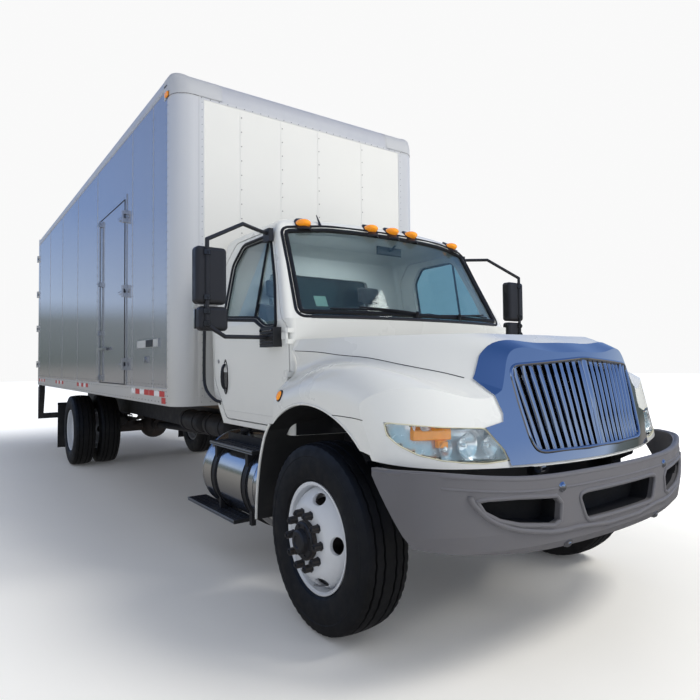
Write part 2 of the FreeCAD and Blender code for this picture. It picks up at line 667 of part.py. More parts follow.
def door_outline(gap):
    """The door's edge seen from the side, moved in by a gap."""
    f, r, t, b = DOOR_FRONT - gap, DOOR_REAR + 1.5 * gap, DOOR_TOP - gap, DOOR_BOTTOM + gap
    low, high = CAB_BELT + 15, t - 110
    points = [
        (f, 1290), (f, CAB_BELT - 50), (screen_side_x(low) - PILLAR_W - gap, low),
        (screen_side_x(high) - PILLAR_W - gap, high), (screen_side_x(high) - PILLAR_W - 110, t), (r + 170, t),
        (r + 20, t - 150), (r, t - 330), (r, CAB_HEEL_Z - 12), (r + 212, b), (f - 180, b),
    ]
    return rounded(points, 45)


def window_outline():
    points = [
        (-632, 1702), (-752, 2000), (-915, 2300), (-965, 2345), (-1370, 2345), (-1500, 2215),
        (-1500, 1808), (-945, 1768), (-800, 1702),
    ]
    return rounded(points, 40)


def windscreen_outline():
    half = [(940, 1765), (903, 2075), (872, 2388), (550, 2421)]
    points = half + [(-y, z) for y, z in reversed(half)]
    return rounded(points, 48)


def rear_window_outline():
    return rounded([(520, 1850), (520, 2230), (-520, 2230), (-520, 1850)], 60)


def door_prism(s, gap):
    y0, y1 = sorted((s * DOOR_OPEN_Y_IN, s * (CAB_HALF + 60)))
    return prism(door_outline(gap), "y", y0, y1)


def front_wall_strip(s):
    """What the door's outline would take of the cab's front wall, inboard of the side wall."""
    y0, y1 = sorted((s * DOOR_OPEN_Y_IN, s * (CAB_HALF_LOW - CAB_WALL - 3)))
    return box(CAB_FRONT - CAB_WALL - 5, DOOR_FRONT + 20, y0, y1, CAB_BOTTOM, CAB_BELT)


def window_prism(s):
    y0, y1 = sorted((s * DOOR_OPEN_Y_IN, s * (CAB_HALF + 60)))
    return prism(window_outline(), "y", y0, y1)


def door_hinges(s):
    """Two hinges on the door's front edge: barrels and pins on the pillar, a knuckle on the door."""
    x, y = DOOR_FRONT + DOOR_HINGE_AHEAD, s * DOOR_HINGE_Y
    fixed, moving, bores = [], [], []
    for z in DOOR_HINGE_Z:
        leaf_y = sorted((y, s * (CAB_HALF_LOW - 25)))
        pin_half = KNUCKLE_END - 10
        fixed.append(cyl_z(x, y, DOOR_PIN_R, z - pin_half, z + pin_half))
        half_gap = KNUCKLE_HALF + KNUCKLE_GAP
        for z0, z1 in ((z - pin_half, z - half_gap), (z + half_gap, z + pin_half)):
            fixed.append(cyl_z(x, y, DOOR_BARREL_R, z0, z1))
            fixed.append(box(x, x + 14, *leaf_y, z0, z1))
        moving.append(cyl_z(x, y, DOOR_BARREL_R, z - KNUCKLE_HALF, z + KNUCKLE_HALF))
        strap_y = sorted((y - s * 4, y + s * 4))
        moving.append(box(x - 60, x, *strap_y, z - KNUCKLE_HALF, z + KNUCKLE_HALF))
        foot_y = sorted((y, s * (CAB_HALF_LOW - 25)))
        moving.append(box(x - 60, x - 30, *foot_y, z - KNUCKLE_HALF, z + KNUCKLE_HALF))
        bores.append(cyl_z(x, y, DOOR_PIN_R + PIN_GAP, z - KNUCKLE_HALF - 0.2, z + KNUCKLE_HALF + 0.2))
    return fixed, moving, Part.makeCompound(bores)


DOOR_HINGE_AHEAD = 6.0
DOOR_HINGE_Y = 1043.0
DOOR_HINGE_Z = (1350.0, 1625.0)
DOOR_PIN_R = 5.0
DOOR_BARREL_R = 9.0


def build_cab():
    """The cab shell, its doors and all glass, cut from one pair of nested forms so that they line up."""
    outer, inner = cab_solid(0.0), cab_solid(CAB_WALL, CAB_FLOOR)
    shell = outer.cut(inner)
    pane = cab_solid(GLASS_INSET).cut(cab_solid(GLASS_INSET + GLASS_T, CAB_FLOOR))
    walls = outer.cut(cab_solid(CAB_WALL))
    reveal = outer.cut(cab_solid(CAB_WALL + DOOR_GAP))
    screen_cut = prism(windscreen_outline(), "x", CAB_REAR + 700, CAB_FRONT + 400)
    back_cut = prism(rear_window_outline(), "x", CAB_REAR - 50, CAB_REAR + 300)
    cab = shell.cut(screen_cut).cut(back_cut)
    doors, door_panes = {}, {}
    for name, s in (("left", 1), ("right", -1)):
        fixed, moving, bores = door_hinges(s)
        cab = fuse([cab.cut(reveal.common(door_prism(s, 0.0)))] + fixed)
        skin = walls.common(door_prism(s, DOOR_GAP)).cut(window_prism(s)).cut(front_wall_strip(s))
        doors[name] = fuse([skin] + moving).cut(bores)
        door_panes[name] = pane.common(window_prism(s))
    mounts = []
    for s in (-1, 1):
        for x in (-600, -1480):
            y0, y1 = sorted((s * 340, s * (RAIL_OUT_Y + 10)))
            mounts.append(box(x - 60, x + 60, y0, y1, RAIL_TOP, CAB_BOTTOM + 10))
    cab = fuse([cab] + mounts)
    glass = Part.makeCompound([pane.common(screen_cut), pane.common(back_cut)])
    return cab, doors, door_panes, glass


def dashboard():
    """Dashboard across the cab with the steering column."""
    floor = CAB_BOTTOM + CAB_FLOOR
    front = CAB_FRONT - CAB_WALL
    half = CAB_HALF - CAB_WALL - 75
    outline = [(front - 6, floor), (front - 6, 1690), (front - 60, 1720), (front - 300, 1690),
               (front - 360, 1600), (front - 300, 1380), (front - 160, 1300), (front - 120, floor)]
    desk = prism(outline, "y", -half, half)
    desk = desk.cut(box(front - 400, front + 10, *sorted((half, half + 5)), floor, 1750))
    hub_point = V(ax(STEER_X), STEER_Y, STEER_Z)
    axis = steer_axis()
    foot = hub_point - axis * COLUMN_LENGTH
    column = Part.makeCylinder(38, COLUMN_LENGTH - BOSS_BACK - BEARING_GAP, foot, axis)
    return fuse([desk, column])


STEER_X = -960.0
STEER_Y = 470.0
STEER_Z = 1690.0
STEER_TILT = 45.0            # column from level, degrees
STEER_R = 228.0
COLUMN_LENGTH = 360.0
BOSS_BACK = 28.0


def steer_axis():
    """The column's direction, up towards the driver."""
    a = math.radians(STEER_TILT)
    return V(-math.cos(a), 0, math.sin(a))


def steering_wheel():
    centre, axis = V(ax(STEER_X), STEER_Y, STEER_Z), steer_axis()
    ring = Part.makeTorus(STEER_R - 14, 14, centre, axis)
    boss = Part.makeCylinder(62, BOSS_BACK + 12, centre - axis * BOSS_BACK, axis)
    side = V(0, 1, 0)
    down = axis.cross(side)
    pieces = [ring, boss]
    for direction in (side, side * -1, down):
        pieces.append(hexahedron(centre, centre + direction * (STEER_R - 14), 20, 7,
                                 across=axis.cross(direction)))
    return fuse(pieces)


def seat(y):
    """One seat: base, cushion, back and head rest in one closed solid."""
    floor = CAB_BOTTOM + CAB_FLOOR
    x = SEAT_X
    base = box(x - 170, x + 200, y - 200, y + 200, floor, floor + 260)
    cushion = box(x - 250, x + 215, y - 250, y + 250, floor + 240, floor + 390)
    outline = [(x - 250, floor + 380), (x - 120, floor + 380), (x - 250, floor + 930), (x - 350, floor + 930)]
    back = prism(outline, "y", y - 235, y + 235)
    head = [(x - 262, floor + 915), (x - 350, floor + 915), (x - 380, floor + 1120), (x - 290, floor + 1120)]
    return fuse([base, cushion, back, prism(head, "y", y - 130, y + 130)])


SEAT_X = -1335.0


# Bonnet, grille and lamps

STATION_KEYS = ("x", "top", "shoulder_y", "shoulder_z", "crease_y", "crease_z", "valley_y", "valley_z",
                "crown_y", "crown_z", "side_y", "side_z", "foot_y")
STATIONS = [
    (-520, 1800, 905, 1752, 1022, 1540, 1042, 1352, 1090, 1300, 1134, 1225, 1145),
    (-250, 1768, 880, 1722, 992, 1522, 1018, 1404, 1082, 1366, 1150, 1290, 1163),
    (50, 1720, 800, 1678, 940, 1492, 970, 1452, 1065, 1442, 1163, 1340, 1170),
    (350, 1666, 690, 1622, 868, 1450, 900, 1422, 1035, 1440, 1160, 1330, 1168),
    (600, 1615, 598, 1568, 752, 1400, 800, 1366, 985, 1378, 1140, 1265, 1162),
    (800, 1543, 525, 1500, 622, 1334, 700, 1290, 905, 1292, 1100, 1200, 1150),
    (1060, 1425, 470, 1390, 540, 1240, 620, 1200, 830, 1180, 1040, 1120, 1130),
]


def bonnet_section(station, inset, floor_z):
    """One cross section of the bonnet and wings, moved in by the inset."""
    s = dict(zip(STATION_KEYS, station))
    top_mid_y = 0.55 * s["shoulder_y"]
    top_mid_z = s["top"] - 0.16 * (s["top"] - s["shoulder_z"])
    turn = (s["shoulder_y"] + 0.45 * (s["crease_y"] - s["shoulder_y"]), s["shoulder_z"] - 70)
    deck = [(0.0, s["top"]), (top_mid_y, top_mid_z), (s["shoulder_y"], s["shoulder_z"]), turn,
            (s["crease_y"], s["crease_z"])]
    wing = [(s["crease_y"], s["crease_z"]), (s["valley_y"], s["valley_z"]), (s["crown_y"], s["crown_z"]),
            (s["side_y"], s["side_z"]), (s["foot_y"], s["side_z"] - 130), (s["foot_y"] - 4, floor_z)]
    chain = deck + wing[1:]
    moved = []
    for i, (y, z) in enumerate(chain):
        before, after = chain[max(i - 1, 0)], chain[min(i + 1, len(chain) - 1)]
        dy, dz = after[0] - before[0], after[1] - before[1]
        length = math.hypot(dy, dz)
        ny, nz = (0.0, -1.0) if i == 0 else (dz / length, -dy / length)
        moved.append((y + ny * inset, z + nz * inset))
    moved[-1] = (chain[-1][0] - inset, floor_z)
    deck, wing = moved[:5], moved[4:]
    x = ax(s["x"])

    def at(points, side):
        return [V(x, side * y, z) for y, z in points]

    over = list(reversed(at(deck[1:], -1))) + at(deck, 1)
    left, right = at(wing, 1), list(reversed(at(wing, -1)))
    return Part.Wire([spline(over), spline(left), line(left[-1], right[0]), spline(right)])


def bonnet_form(inset, floor_z):
    return Part.makeLoft([bonnet_section(s, inset, floor_z) for s in STATIONS], True, False)


NOSE_LOW = [(1040, 0), (1022, 250), (985, 450), (905, 720), (790, 1000), (690, 1105), (560, 1165)]
NOSE_HIGH = [(880, 0), (862, 250), (824, 450), (745, 720), (625, 1000), (525, 1105), (395, 1165)]
NOSE_LOW_Z = 930.0
NOSE_HIGH_Z = 1600.0


def nose_wire(points, z, inset):
    front = [V(ax(x - inset), -y, z) for x, y in reversed(points[1:])]
    front += [V(ax(x - inset), y, z) for x, y in points]
    back_x = ax(-1500)
    wide = BODY_HALF
    a, b = V(back_x, wide, z), V(back_x, -wide, z)
    end, start = front[-1], front[0]
    out_l, out_r = V(end.x - 260, wide, z), V(start.x - 260, -wide, z)
    corners = [end, out_l, a, b, out_r, start]
    return Part.Wire([spline(front)] + [line(p, q) for p, q in zip(corners, corners[1:])])


def nose_form(inset):
    """Everything behind the nose's sloping, bowed face."""
    return Part.makeLoft([nose_wire(NOSE_LOW, NOSE_LOW_Z, inset), nose_wire(NOSE_HIGH, NOSE_HIGH_Z, inset)],
                         True, True)


def nose_x(y, z, inset=0.0):
    """X of the nose's face at a place, between the two plan curves."""
    def on(points):
        for (xa, ya), (xb, yb) in zip(points, points[1:]):
            if abs(y) <= yb:
                return xa + (xb - xa) * (abs(y) - ya) / (yb - ya)
        return points[-1][0]
    share = (z - NOSE_LOW_Z) / (NOSE_HIGH_Z - NOSE_LOW_Z)
    return on(NOSE_LOW) + (on(NOSE_HIGH) - on(NOSE_LOW)) * share - inset


def nose_block(inset, floor_z):
    """The bonnet's form cut to the nose, as high as both reach."""
    return bonnet_form(inset, floor_z).common(nose_form(inset))


SURROUND_BACK = [(800, 0), (785, 250), (750, 500), (722, 600), (736, 650)]
SURROUND_PROUD = 7.0
SURROUND_D = 42.0


def surround_outline():
    half = [(622, 964), (642, 1038), (716, 1141), (621, 1164), (612, 1203), (650, 1333), (690, 1440), (690, 1640)]
    return half + [(-y, z) for y, z in reversed(half)]


def surround_region():
    """The room that the grille's surround takes: its outline from the front and its back edge from above."""
    rear = SURROUND_BACK + [(SURROUND_BACK[-1][0], 900)]
    plan = rear + [(1300, 900), (1300, -900)] + [(x, -y) for x, y in reversed(rear[1:])]
    return prism(surround_outline(), "x", 480, 1300).common(prism(plan, "z", 900, 1700))


def grille_outline():
    half = [(455, 1022), (482, 1070), (508, 1268), (519, 1422)]
    points = half + [(0, 1456)] + [(-y, z) for y, z in reversed(half)]
    return rounded(points, 45)


def headlamp_outline(s):
    points = [(623, 985), (741, 978), (845, 988), (945, 1004), (1031, 1030), (1090, 1072), (1120, 1116),
              (1122, 1177), (1032, 1166), (918, 1153), (716, 1140), (641, 1038)]
    return [(s * y, z) for y, z in points]


def wing_bottom():
    """What the wings' lower edges leave off, from the arches to the lamps."""
    edge = [(380, 1042), (500, 1029), (545, 1022), (560, 1000), (780, 973), (905, 956), (1100, 944)]
    return edge + [(1100, 880), (380, 880)]


def behind_cab_front():
    """Everything behind the cab's bowed front and a gap, as wide as the wings."""
    x, half, wide, back, z = CAB_FRONT + BONNET_GAP, CAB_HALF - CAB_FRONT_R, 1400, -2500, 900
    left, tip, right = V(ax(x), half, z), V(ax(x + CAB_BULGE), 0, z), V(ax(x), -half, z)
    corners = [V(ax(x), -wide, z), V(ax(back), -wide, z), V(ax(back), wide, z), V(ax(x), wide, z)]
    ring = [right] + corners + [left]
    edges = [Part.Arc(left, tip, right).toShape()] + [line(a, b) for a, b in zip(ring, ring[1:])]
    return Part.Face(Part.Wire(edges)).extrude(V(0, 0, 1200))


def build_bonnet():
    """The tilting bonnet with its wings, the grille with its surround, and the headlamps."""
    outer = nose_block(0.0, BONNET_BOTTOM)
    inner = bonnet_form(BONNET_T, BONNET_BOTTOM - 120).common(nose_form(BONNET_T))
    rear_cut = behind_cab_front()
    skin = outer.cut(inner).cut(rear_cut)
    liners = []
    for s in (-1, 1):
        y0, y1 = sorted((s * LINER_IN_Y, s * (SKIRT_OUT_Y + 40)))
        ring = cyl_y(ARCH_X, TYRE_R, ARCH_R + LINER_T, y0, y1).cut(cyl_y(ARCH_X, TYRE_R, ARCH_R, y0 - 1, y1 + 1))
        liners.append(ring.common(outer).cut(rear_cut))
    skin = fuse([skin] + liners)
    region = surround_region()
    for s in (-1, 1):
        y0, y1 = sorted((s * 500, s * 1400))
        skin = skin.cut(cyl_y(ARCH_X, TYRE_R, ARCH_R, y0, y1)).cut(prism(wing_bottom(), "y", y0, y1))
        skin = skin.cut(prism(headlamp_outline(s), "x", 480, 1300))
    skin = skin.cut(region)

    lamps = []
    lens = nose_block(2.0, BONNET_BOTTOM - 40).cut(nose_block(85.0, BONNET_BOTTOM - 160))
    for s in (-1, 1):
        lamps.append(lens.common(prism(headlamp_outline(s), "x", 480, 1300)))

    proud = nose_block(-SURROUND_PROUD, BONNET_BOTTOM - 10)
    deep = nose_block(SURROUND_D, BONNET_BOTTOM - 160)
    frame = proud.cut(deep).common(region)
    for s in (-1, 1):
        frame = frame.cut(prism(headlamp_outline(s), "x", 480, 1300))
    frame = frame.cut(prism(grille_outline(), "x", 480, 1300))
    grille = fuse([frame] + grille_bars() + bonnet_lugs())
    return skin, grille, Part.makeCompound(lamps)


GRILLE_BARS = 20
BAR_HALF_W = 14.0
BAR_HALF_D = 15.0
BAR_SET_IN = 18.0


def grille_bars():
    """Upright bars between the surround's lower and upper edges, leaning with its sides."""
    bars = []
    low_z, high_z = 1000.0, 1462.0
    for i in range(GRILLE_BARS):
        share = 2 * (i + 0.5) / GRILLE_BARS - 1
        y0, y1 = share * 460, share * 530
        p0 = V(ax(nose_x(y0, low_z, BAR_SET_IN)), y0, low_z)
        p1 = V(ax(nose_x(y1, high_z, BAR_SET_IN)), y1, high_z)
        bars.append(hexahedron(p0, p1, BAR_HALF_W, BAR_HALF_D))
    bars.append(hexahedron(V(ax(nose_x(0, low_z, BAR_SET_IN - 4)), 0, low_z),
                           V(ax(nose_x(0, high_z, BAR_SET_IN - 4)), 0, high_z), 16, 18))
    return bars


def bonnet_lugs():
    """The two lugs by which the bonnet turns on the frame's pins."""
    lugs = []
    for s in (-1, 1):
        near = BONNET_EAR_Y + EAR_T / 2 + 3
        y0, y1 = sorted((s * near, s * (near + LUG_T)))
        eye = cyl_y(BONNET_PIVOT_X, BONNET_PIVOT_Z, BONNET_PIN_R + 12, y0, y1)
        x_face = nose_x(BONNET_EAR_Y, 1000, SURROUND_D)
        arm = [(BONNET_PIVOT_X - 20, BONNET_PIVOT_Z), (BONNET_PIVOT_X + 20, BONNET_PIVOT_Z - 6),
               (x_face + 20, 985), (x_face + 20, 1008), (x_face - 45, 1008)]
        hole = cyl_y(BONNET_PIVOT_X, BONNET_PIVOT_Z, BONNET_PIN_R + PIN_GAP, y0 - 5, y1 + 5)
        lugs.append(fuse([eye, prism(arm, "y", y0, y1)]).cut(hole))
    return lugs


# Bumper

BUMPER_PLAN = [(1130, 0), (1122, 240), (1098, 480), (1040, 755), (952, 970), (845, 1105), (690, 1172),
               (520, 1185)]


def bumper_wire(z, inset, back):
    pts = [(x - inset, y * (BUMPER_HALF - inset) / BUMPER_HALF) for x, y in BUMPER_PLAN]
    front = [V(ax(x), -y, z) for x, y in reversed(pts[1:])] + [V(ax(x), y, z) for x, y in pts]
    a, b = V(ax(back), front[-1].y, z), V(ax(back), front[0].y, z)
    return Part.Wire([spline(front), line(front[-1], a), line(a, b), line(b, front[0])])


def bumper_outline(kind):
    """Openings seen from the front."""
    if kind == "middle":
        half = [(300, 702), (350, 818), (302, 828)]
        return rounded(half + [(-y, z) for y, z in reversed(half)], 26)
    points = [(489, 724), (524, 711), (706, 735), (807, 763), (875, 802), (905, 849), (863, 849), (718, 845),
              (506, 829), (481, 800)]
    return [(kind * y, z) for y, z in points]


def bumper_trim():
    """What the bumper's upper and lower edges leave off, seen from the front."""
    upper = [(0, 930), (500, 930), (644, 933), (780, 942), (930, 957), (1050, 972), (1250, 977), (1250, 1100)]
    lower = [(0, 585), (500, 585), (653, 592), (787, 604), (901, 614), (1003, 626), (1090, 640), (1250, 668),
             (1250, 500)]
    return [half + [(-y, z) for y, z in reversed(half[1:])] for half in (upper, lower)]


def front_bumper():
    """Wrap-round bumper shell with its air openings and the brackets back to the rails."""
    levels = [(BUMPER_BOTTOM, 40), (BUMPER_BOTTOM + 40, 10), (BUMPER_BOTTOM + 115, 0), (BUMPER_TOP, 0)]
    outer = Part.makeLoft([bumper_wire(z, inset, 430) for z, inset in levels], True, True)
    inside = [(z, inset + BUMPER_T) for z, inset in levels]
    inside[0] = (BUMPER_BOTTOM - 10, inside[0][1])
    inside[-1] = (BUMPER_TOP + 10, inside[-1][1])
    inner = Part.makeLoft([bumper_wire(z, inset, 380) for z, inset in inside], True, True)
    shell = outer.cut(inner)
    end_cut = [(300, 1050), (595, 1050), (595, 940), (800, 650), (800, 500), (300, 500)]
    shell = shell.cut(prism(end_cut, "y", -1500, 1500))
    for trim in bumper_trim():
        shell = shell.cut(prism(trim, "x", 300, 1300))
    for kind in ("middle", 1, -1):
        shell = shell.cut(prism(bumper_outline(kind), "x", 600, 1300))
    brackets = []
    for s in (-1, 1):
        y0, y1 = sorted((s * (RAIL_OUT_Y - 60), s * RAIL_OUT_Y))
        block = box(RAIL_FRONT, 1110, y0, y1, BRACKET_Z - BRACKET_H / 2, BRACKET_Z + BRACKET_H / 2)
        bore = cyl_z(TOW_BORE_X, s * (RAIL_OUT_Y - 30), TOW_BORE_R, BRACKET_Z - BRACKET_H, BRACKET_Z + BRACKET_H)
        brackets.append(block.common(outer).cut(bore))
    return fuse([shell] + brackets)


# Freight body

def corner_post(s):
    """Round front corner post with its cast cap on top."""
    x0, x1 = BODY_FRONT - CORNER, BODY_FRONT
    tall = BODY_TOP - BODY_BOTTOM

    def rounded_block(inset, bottom):
        r = CORNER_R - inset
        block = Part.makeBox(CORNER - inset + 200, CORNER - inset + 200, tall - inset - bottom,
                             V(ax(x0 - 200), BODY_HALF - CORNER - 200, BODY_BOTTOM + bottom))
        edges = []
        for e in block.Edges:
            mid = e.valueAt((e.FirstParameter + e.LastParameter) / 2)
            on_front = abs(mid.x - ax(x1 - inset)) < 1
            on_side = abs(mid.y - (BODY_HALF - inset)) < 1
            on_top = abs(mid.z - (BODY_TOP - inset)) < 1
            if (on_front and on_side) or (on_front and on_top) or (on_side and on_top):
                edges.append(e)
        return block.makeFillet(r, edges)

    shell = rounded_block(0.0, 0.0).cut(rounded_block(BODY_WALL, -20.0))
    keep = Part.makeBox(CORNER, CORNER, tall, V(ax(x0), BODY_HALF - CORNER, BODY_BOTTOM))
    post = shell.common(keep)
    return post if s > 0 else other_side(post)


def front_top_rail():
    """Large-radius extrusion along the top of the front wall, between the two caps."""
    y = BODY_HALF - CORNER
    size, corner = CORNER + 200, V(ax(BODY_FRONT - CORNER - 200), -y, BODY_TOP - CORNER - 200)
    block = Part.makeBox(size, 2 * y, size, corner)
    hollow = Part.makeBox(size - BODY_WALL, 2 * y, size - BODY_WALL, corner)

    def round_front_top(b, x, z, r):
        edge = [e for e in b.Edges
                if all(abs(v.Point.x - x) < 1 and abs(v.Point.z - z) < 1 for v in e.Vertexes)]
        return b.makeFillet(r, edge)

    outer = round_front_top(block, ax(BODY_FRONT), BODY_TOP, CORNER_R)
    inner = round_front_top(hollow, ax(BODY_FRONT - BODY_WALL), BODY_TOP - BODY_WALL, CORNER_R - BODY_WALL)
    keep = Part.makeBox(CORNER, 2 * y, CORNER, V(ax(BODY_FRONT - CORNER), -y, BODY_TOP - CORNER))
    return outer.cut(inner).common(keep)


def side_top_rail(s):
    """Roof-edge extrusion with a small outer radius and a leg down over the wall."""
    x0, x1 = BODY_REAR + REAR_FRAME_D, BODY_FRONT - CORNER
    block = box(x0, x1, BODY_HALF - TOP_RAIL_W, BODY_HALF, BODY_TOP - TOP_RAIL_H, BODY_TOP)
    edge = [e for e in block.Edges
            if all(abs(v.Point.y - BODY_HALF) < 1 and abs(v.Point.z - BODY_TOP) < 1 for v in e.Vertexes)]
    block = block.makeFillet(40, edge)
    inner = box(x0 - 1, x1 + 1, BODY_HALF - TOP_RAIL_W - 1, BODY_HALF - BODY_WALL, BODY_TOP - TOP_RAIL_H - 1,
                BODY_TOP - ROOF_T)
    rail = block.cut(inner)
    return rail if s > 0 else other_side(rail)


def side_bottom_rail(s):
    """Bottom rail under one side wall."""
    x0, x1 = BODY_REAR + REAR_FRAME_D, BODY_FRONT - CORNER
    rail = box(x0, x1, BODY_HALF - BODY_WALL, BODY_HALF, BODY_BOTTOM, SIDE_RAIL_TOP)
    return rail if s > 0 else other_side(rail)


def side_wall(s):
    """One side wall panel between the bottom and top rails. The right one has the side door's opening."""
    x0, x1 = BODY_REAR + REAR_FRAME_D, BODY_FRONT - CORNER
    wall = box(x0, x1, BODY_HALF - BODY_WALL, BODY_HALF, SIDE_RAIL_TOP, BODY_TOP - TOP_RAIL_H)
    if s > 0:
        return wall
    wall = other_side(wall)
    opening = box(SIDE_DOOR_REAR, SIDE_DOOR_FRONT, -BODY_HALF - 50, -BODY_HALF + 100,
                  SIDE_DOOR_BOTTOM, SIDE_DOOR_TOP)
    wall = wall.cut(opening)
    frame = box(SIDE_DOOR_REAR - SIDE_FRAME_W, SIDE_DOOR_FRONT + SIDE_FRAME_W, -BODY_HALF - SIDE_FRAME_T,
                -BODY_HALF, SIDE_RAIL_TOP, SIDE_DOOR_TOP + SIDE_FRAME_W).cut(opening)
    pieces = [wall, frame]
    hinge_y = -(BODY_HALF + SIDE_HINGE_OUT)
    hinge_x = SIDE_DOOR_FRONT + SIDE_HINGE_AHEAD
    for z in side_hinge_heights():
        pieces.append(cyl_z(hinge_x, hinge_y, PIN_R, z - KNUCKLE_END, z + KNUCKLE_END))
        half_gap = KNUCKLE_HALF + KNUCKLE_GAP
        for z0, z1 in ((z - KNUCKLE_END, z - half_gap), (z + half_gap, z + KNUCKLE_END)):
            pieces.append(cyl_z(hinge_x, hinge_y, BARREL_R, z0, z1))
            pieces.append(box(hinge_x - 6, hinge_x + 40, hinge_y, -BODY_HALF, z0, z1))
    strip = box(STRIP_REAR, STRIP_FRONT, -BODY_HALF - 12, -BODY_HALF, STRIP_Z - 35, STRIP_Z + 35)
    latch = box(STRIP_FRONT - 420, STRIP_FRONT - 330, -BODY_HALF - 12, -BODY_HALF, STRIP_Z - 170, STRIP_Z - 110)
    return fuse(pieces + [strip, latch])


STRIP_REAR = -2920.0
STRIP_FRONT = -2270.0
STRIP_Z = 1645.0


def side_hinge_heights():
    span = SIDE_DOOR_TOP - SIDE_DOOR_BOTTOM
    return [SIDE_DOOR_BOTTOM + span * share for share in (0.11, 0.5, 0.9)]


def side_door():
    """Kerb-side door with its hinge knuckles and lock rod."""
    g = PANEL_GAP
    face = -BODY_HALF
    panel = box(SIDE_DOOR_REAR + g, SIDE_DOOR_FRONT - g, face - SIDE_FRAME_T, face + BODY_WALL,
                SIDE_DOOR_BOTTOM + g, SIDE_DOOR_TOP - g)
    pieces = [panel]
    hinge_y = -(BODY_HALF + SIDE_HINGE_OUT)
    hinge_x = SIDE_DOOR_FRONT + SIDE_HINGE_AHEAD
    bores = []
    for z in side_hinge_heights():
        z0, z1 = z - KNUCKLE_HALF, z + KNUCKLE_HALF
        pieces.append(cyl_z(hinge_x, hinge_y, BARREL_R, z0, z1))
        pieces.append(box(SIDE_DOOR_FRONT - 130, hinge_x, hinge_y - 5, hinge_y + 5, z0, z1))
        pieces.append(box(SIDE_DOOR_FRONT - 130, SIDE_DOOR_FRONT - 60, hinge_y, face - SIDE_FRAME_T + 1, z0, z1))
        bores.append(cyl_z(hinge_x, hinge_y, PIN_R + PIN_GAP, z0 - 1, z1 + 1))
    rod_x = SIDE_DOOR_REAR + 62
    rod_y = face - SIDE_FRAME_T - ROD_STAND
    pieces.append(cyl_z(rod_x, rod_y, LOCK_ROD_R, SIDE_DOOR_BOTTOM + 15, SIDE_DOOR_TOP - 15))
    for z in (SIDE_DOOR_BOTTOM + 60, SIDE_DOOR_BOTTOM + 560, SIDE_DOOR_BOTTOM + 1120, SIDE_DOOR_TOP - 60):
        pieces.append(box(rod_x - 28, rod_x + 28, rod_y, face - SIDE_FRAME_T + 1, z - 25, z + 25))
    handle_z = SIDE_DOOR_BOTTOM + 380
    pieces.append(box(rod_x - 14, rod_x + 330, rod_y - 8, rod_y + 8, handle_z - 14, handle_z + 14))
    return fuse(pieces).cut(Part.makeCompound(bores))


def body_floor():
    """Floor with its cross sills and the two long sills that stand on the rails."""
    x0, x1 = BODY_REAR + REAR_FRAME_D, BODY_FRONT - BODY_WALL
    edge = BODY_HALF - BODY_WALL
    inner_x1 = BODY_FRONT - CORNER
    slab = box(x0, x1, -edge, edge, FLOOR_TOP - FLOOR_T, FLOOR_TOP)
    at_front = [e for e in slab.Edges if all(abs(v.Point.x - ax(x1)) < 1 for v in e.Vertexes)]
    corners = [e for e in at_front if abs(e.tangentAt(e.FirstParameter).z) > 0.9]
    pieces = [slab.makeFillet(CORNER_R - BODY_WALL, corners)]
    count = int((inner_x1 - x0 - CROSS_SILL_W) / CROSS_SILL_PITCH)
    pitch = (inner_x1 - x0 - CROSS_SILL_W) / count
    for i in range(count + 1):
        x = x0 + i * pitch
        pieces.append(box(x, x + CROSS_SILL_W, -edge, edge, BODY_BOTTOM, FLOOR_TOP - FLOOR_T))
    for s in (-1, 1):
        y0, y1 = sorted((s * (RAIL_OUT_Y - RAIL_FLANGE), s * RAIL_OUT_Y))
        pieces.append(box(x0, inner_x1, y0, y1, RAIL_TOP, BODY_BOTTOM + 10))
    return fuse(pieces)


def front_wall():
    y = BODY_HALF - CORNER
    return box(BODY_FRONT - BODY_WALL, BODY_FRONT, -y, y, BODY_BOTTOM, BODY_TOP - CORNER)


def roof():
    x0, x1 = BODY_REAR + REAR_FRAME_D, BODY_FRONT - CORNER
    y = BODY_HALF - TOP_RAIL_W
    return box(x0, x1, -y, y, BODY_TOP - ROOF_T, BODY_TOP)


def rear_frame():
    """Rear door frame: posts, header and sill, with the fixed hinge knuckles."""
    x0, x1 = BODY_REAR, BODY_REAR + REAR_FRAME_D
    outer = box(x0, x1, -BODY_HALF, BODY_HALF, BODY_BOTTOM, BODY_TOP)
    reach = BODY_HALF - REAR_POST_W
    opening = box(x0 - 5, x1 + 5, -reach, reach, FLOOR_TOP, BODY_TOP - TOP_RAIL_H)
    pieces = [outer.cut(opening)]
    for s in (-1, 1):
        for z in rear_hinge_heights():
            y = s * (BODY_HALF + HINGE_OUT)
            pieces.append(cyl_z(BODY_REAR - HINGE_BACK, y, PIN_R, z - KNUCKLE_END, z + KNUCKLE_END))
            for z0, z1 in ((z - KNUCKLE_END, z - KNUCKLE_HALF - KNUCKLE_GAP),
                           (z + KNUCKLE_HALF + KNUCKLE_GAP, z + KNUCKLE_END)):
                pieces.append(cyl_z(BODY_REAR - HINGE_BACK, y, BARREL_R, z0, z1))
                leaf = sorted((s * (BODY_HALF - 2), s * (BODY_HALF + 6)))
                pieces.append(box(BODY_REAR - HINGE_BACK - 4, BODY_REAR + 45, *leaf, z0, z1))
    return fuse(pieces)


def rear_hinge_heights():
    span = BODY_TOP - TOP_RAIL_H - FLOOR_TOP
    return [FLOOR_TOP + span * share for share in (0.1, 0.37, 0.63, 0.9)]


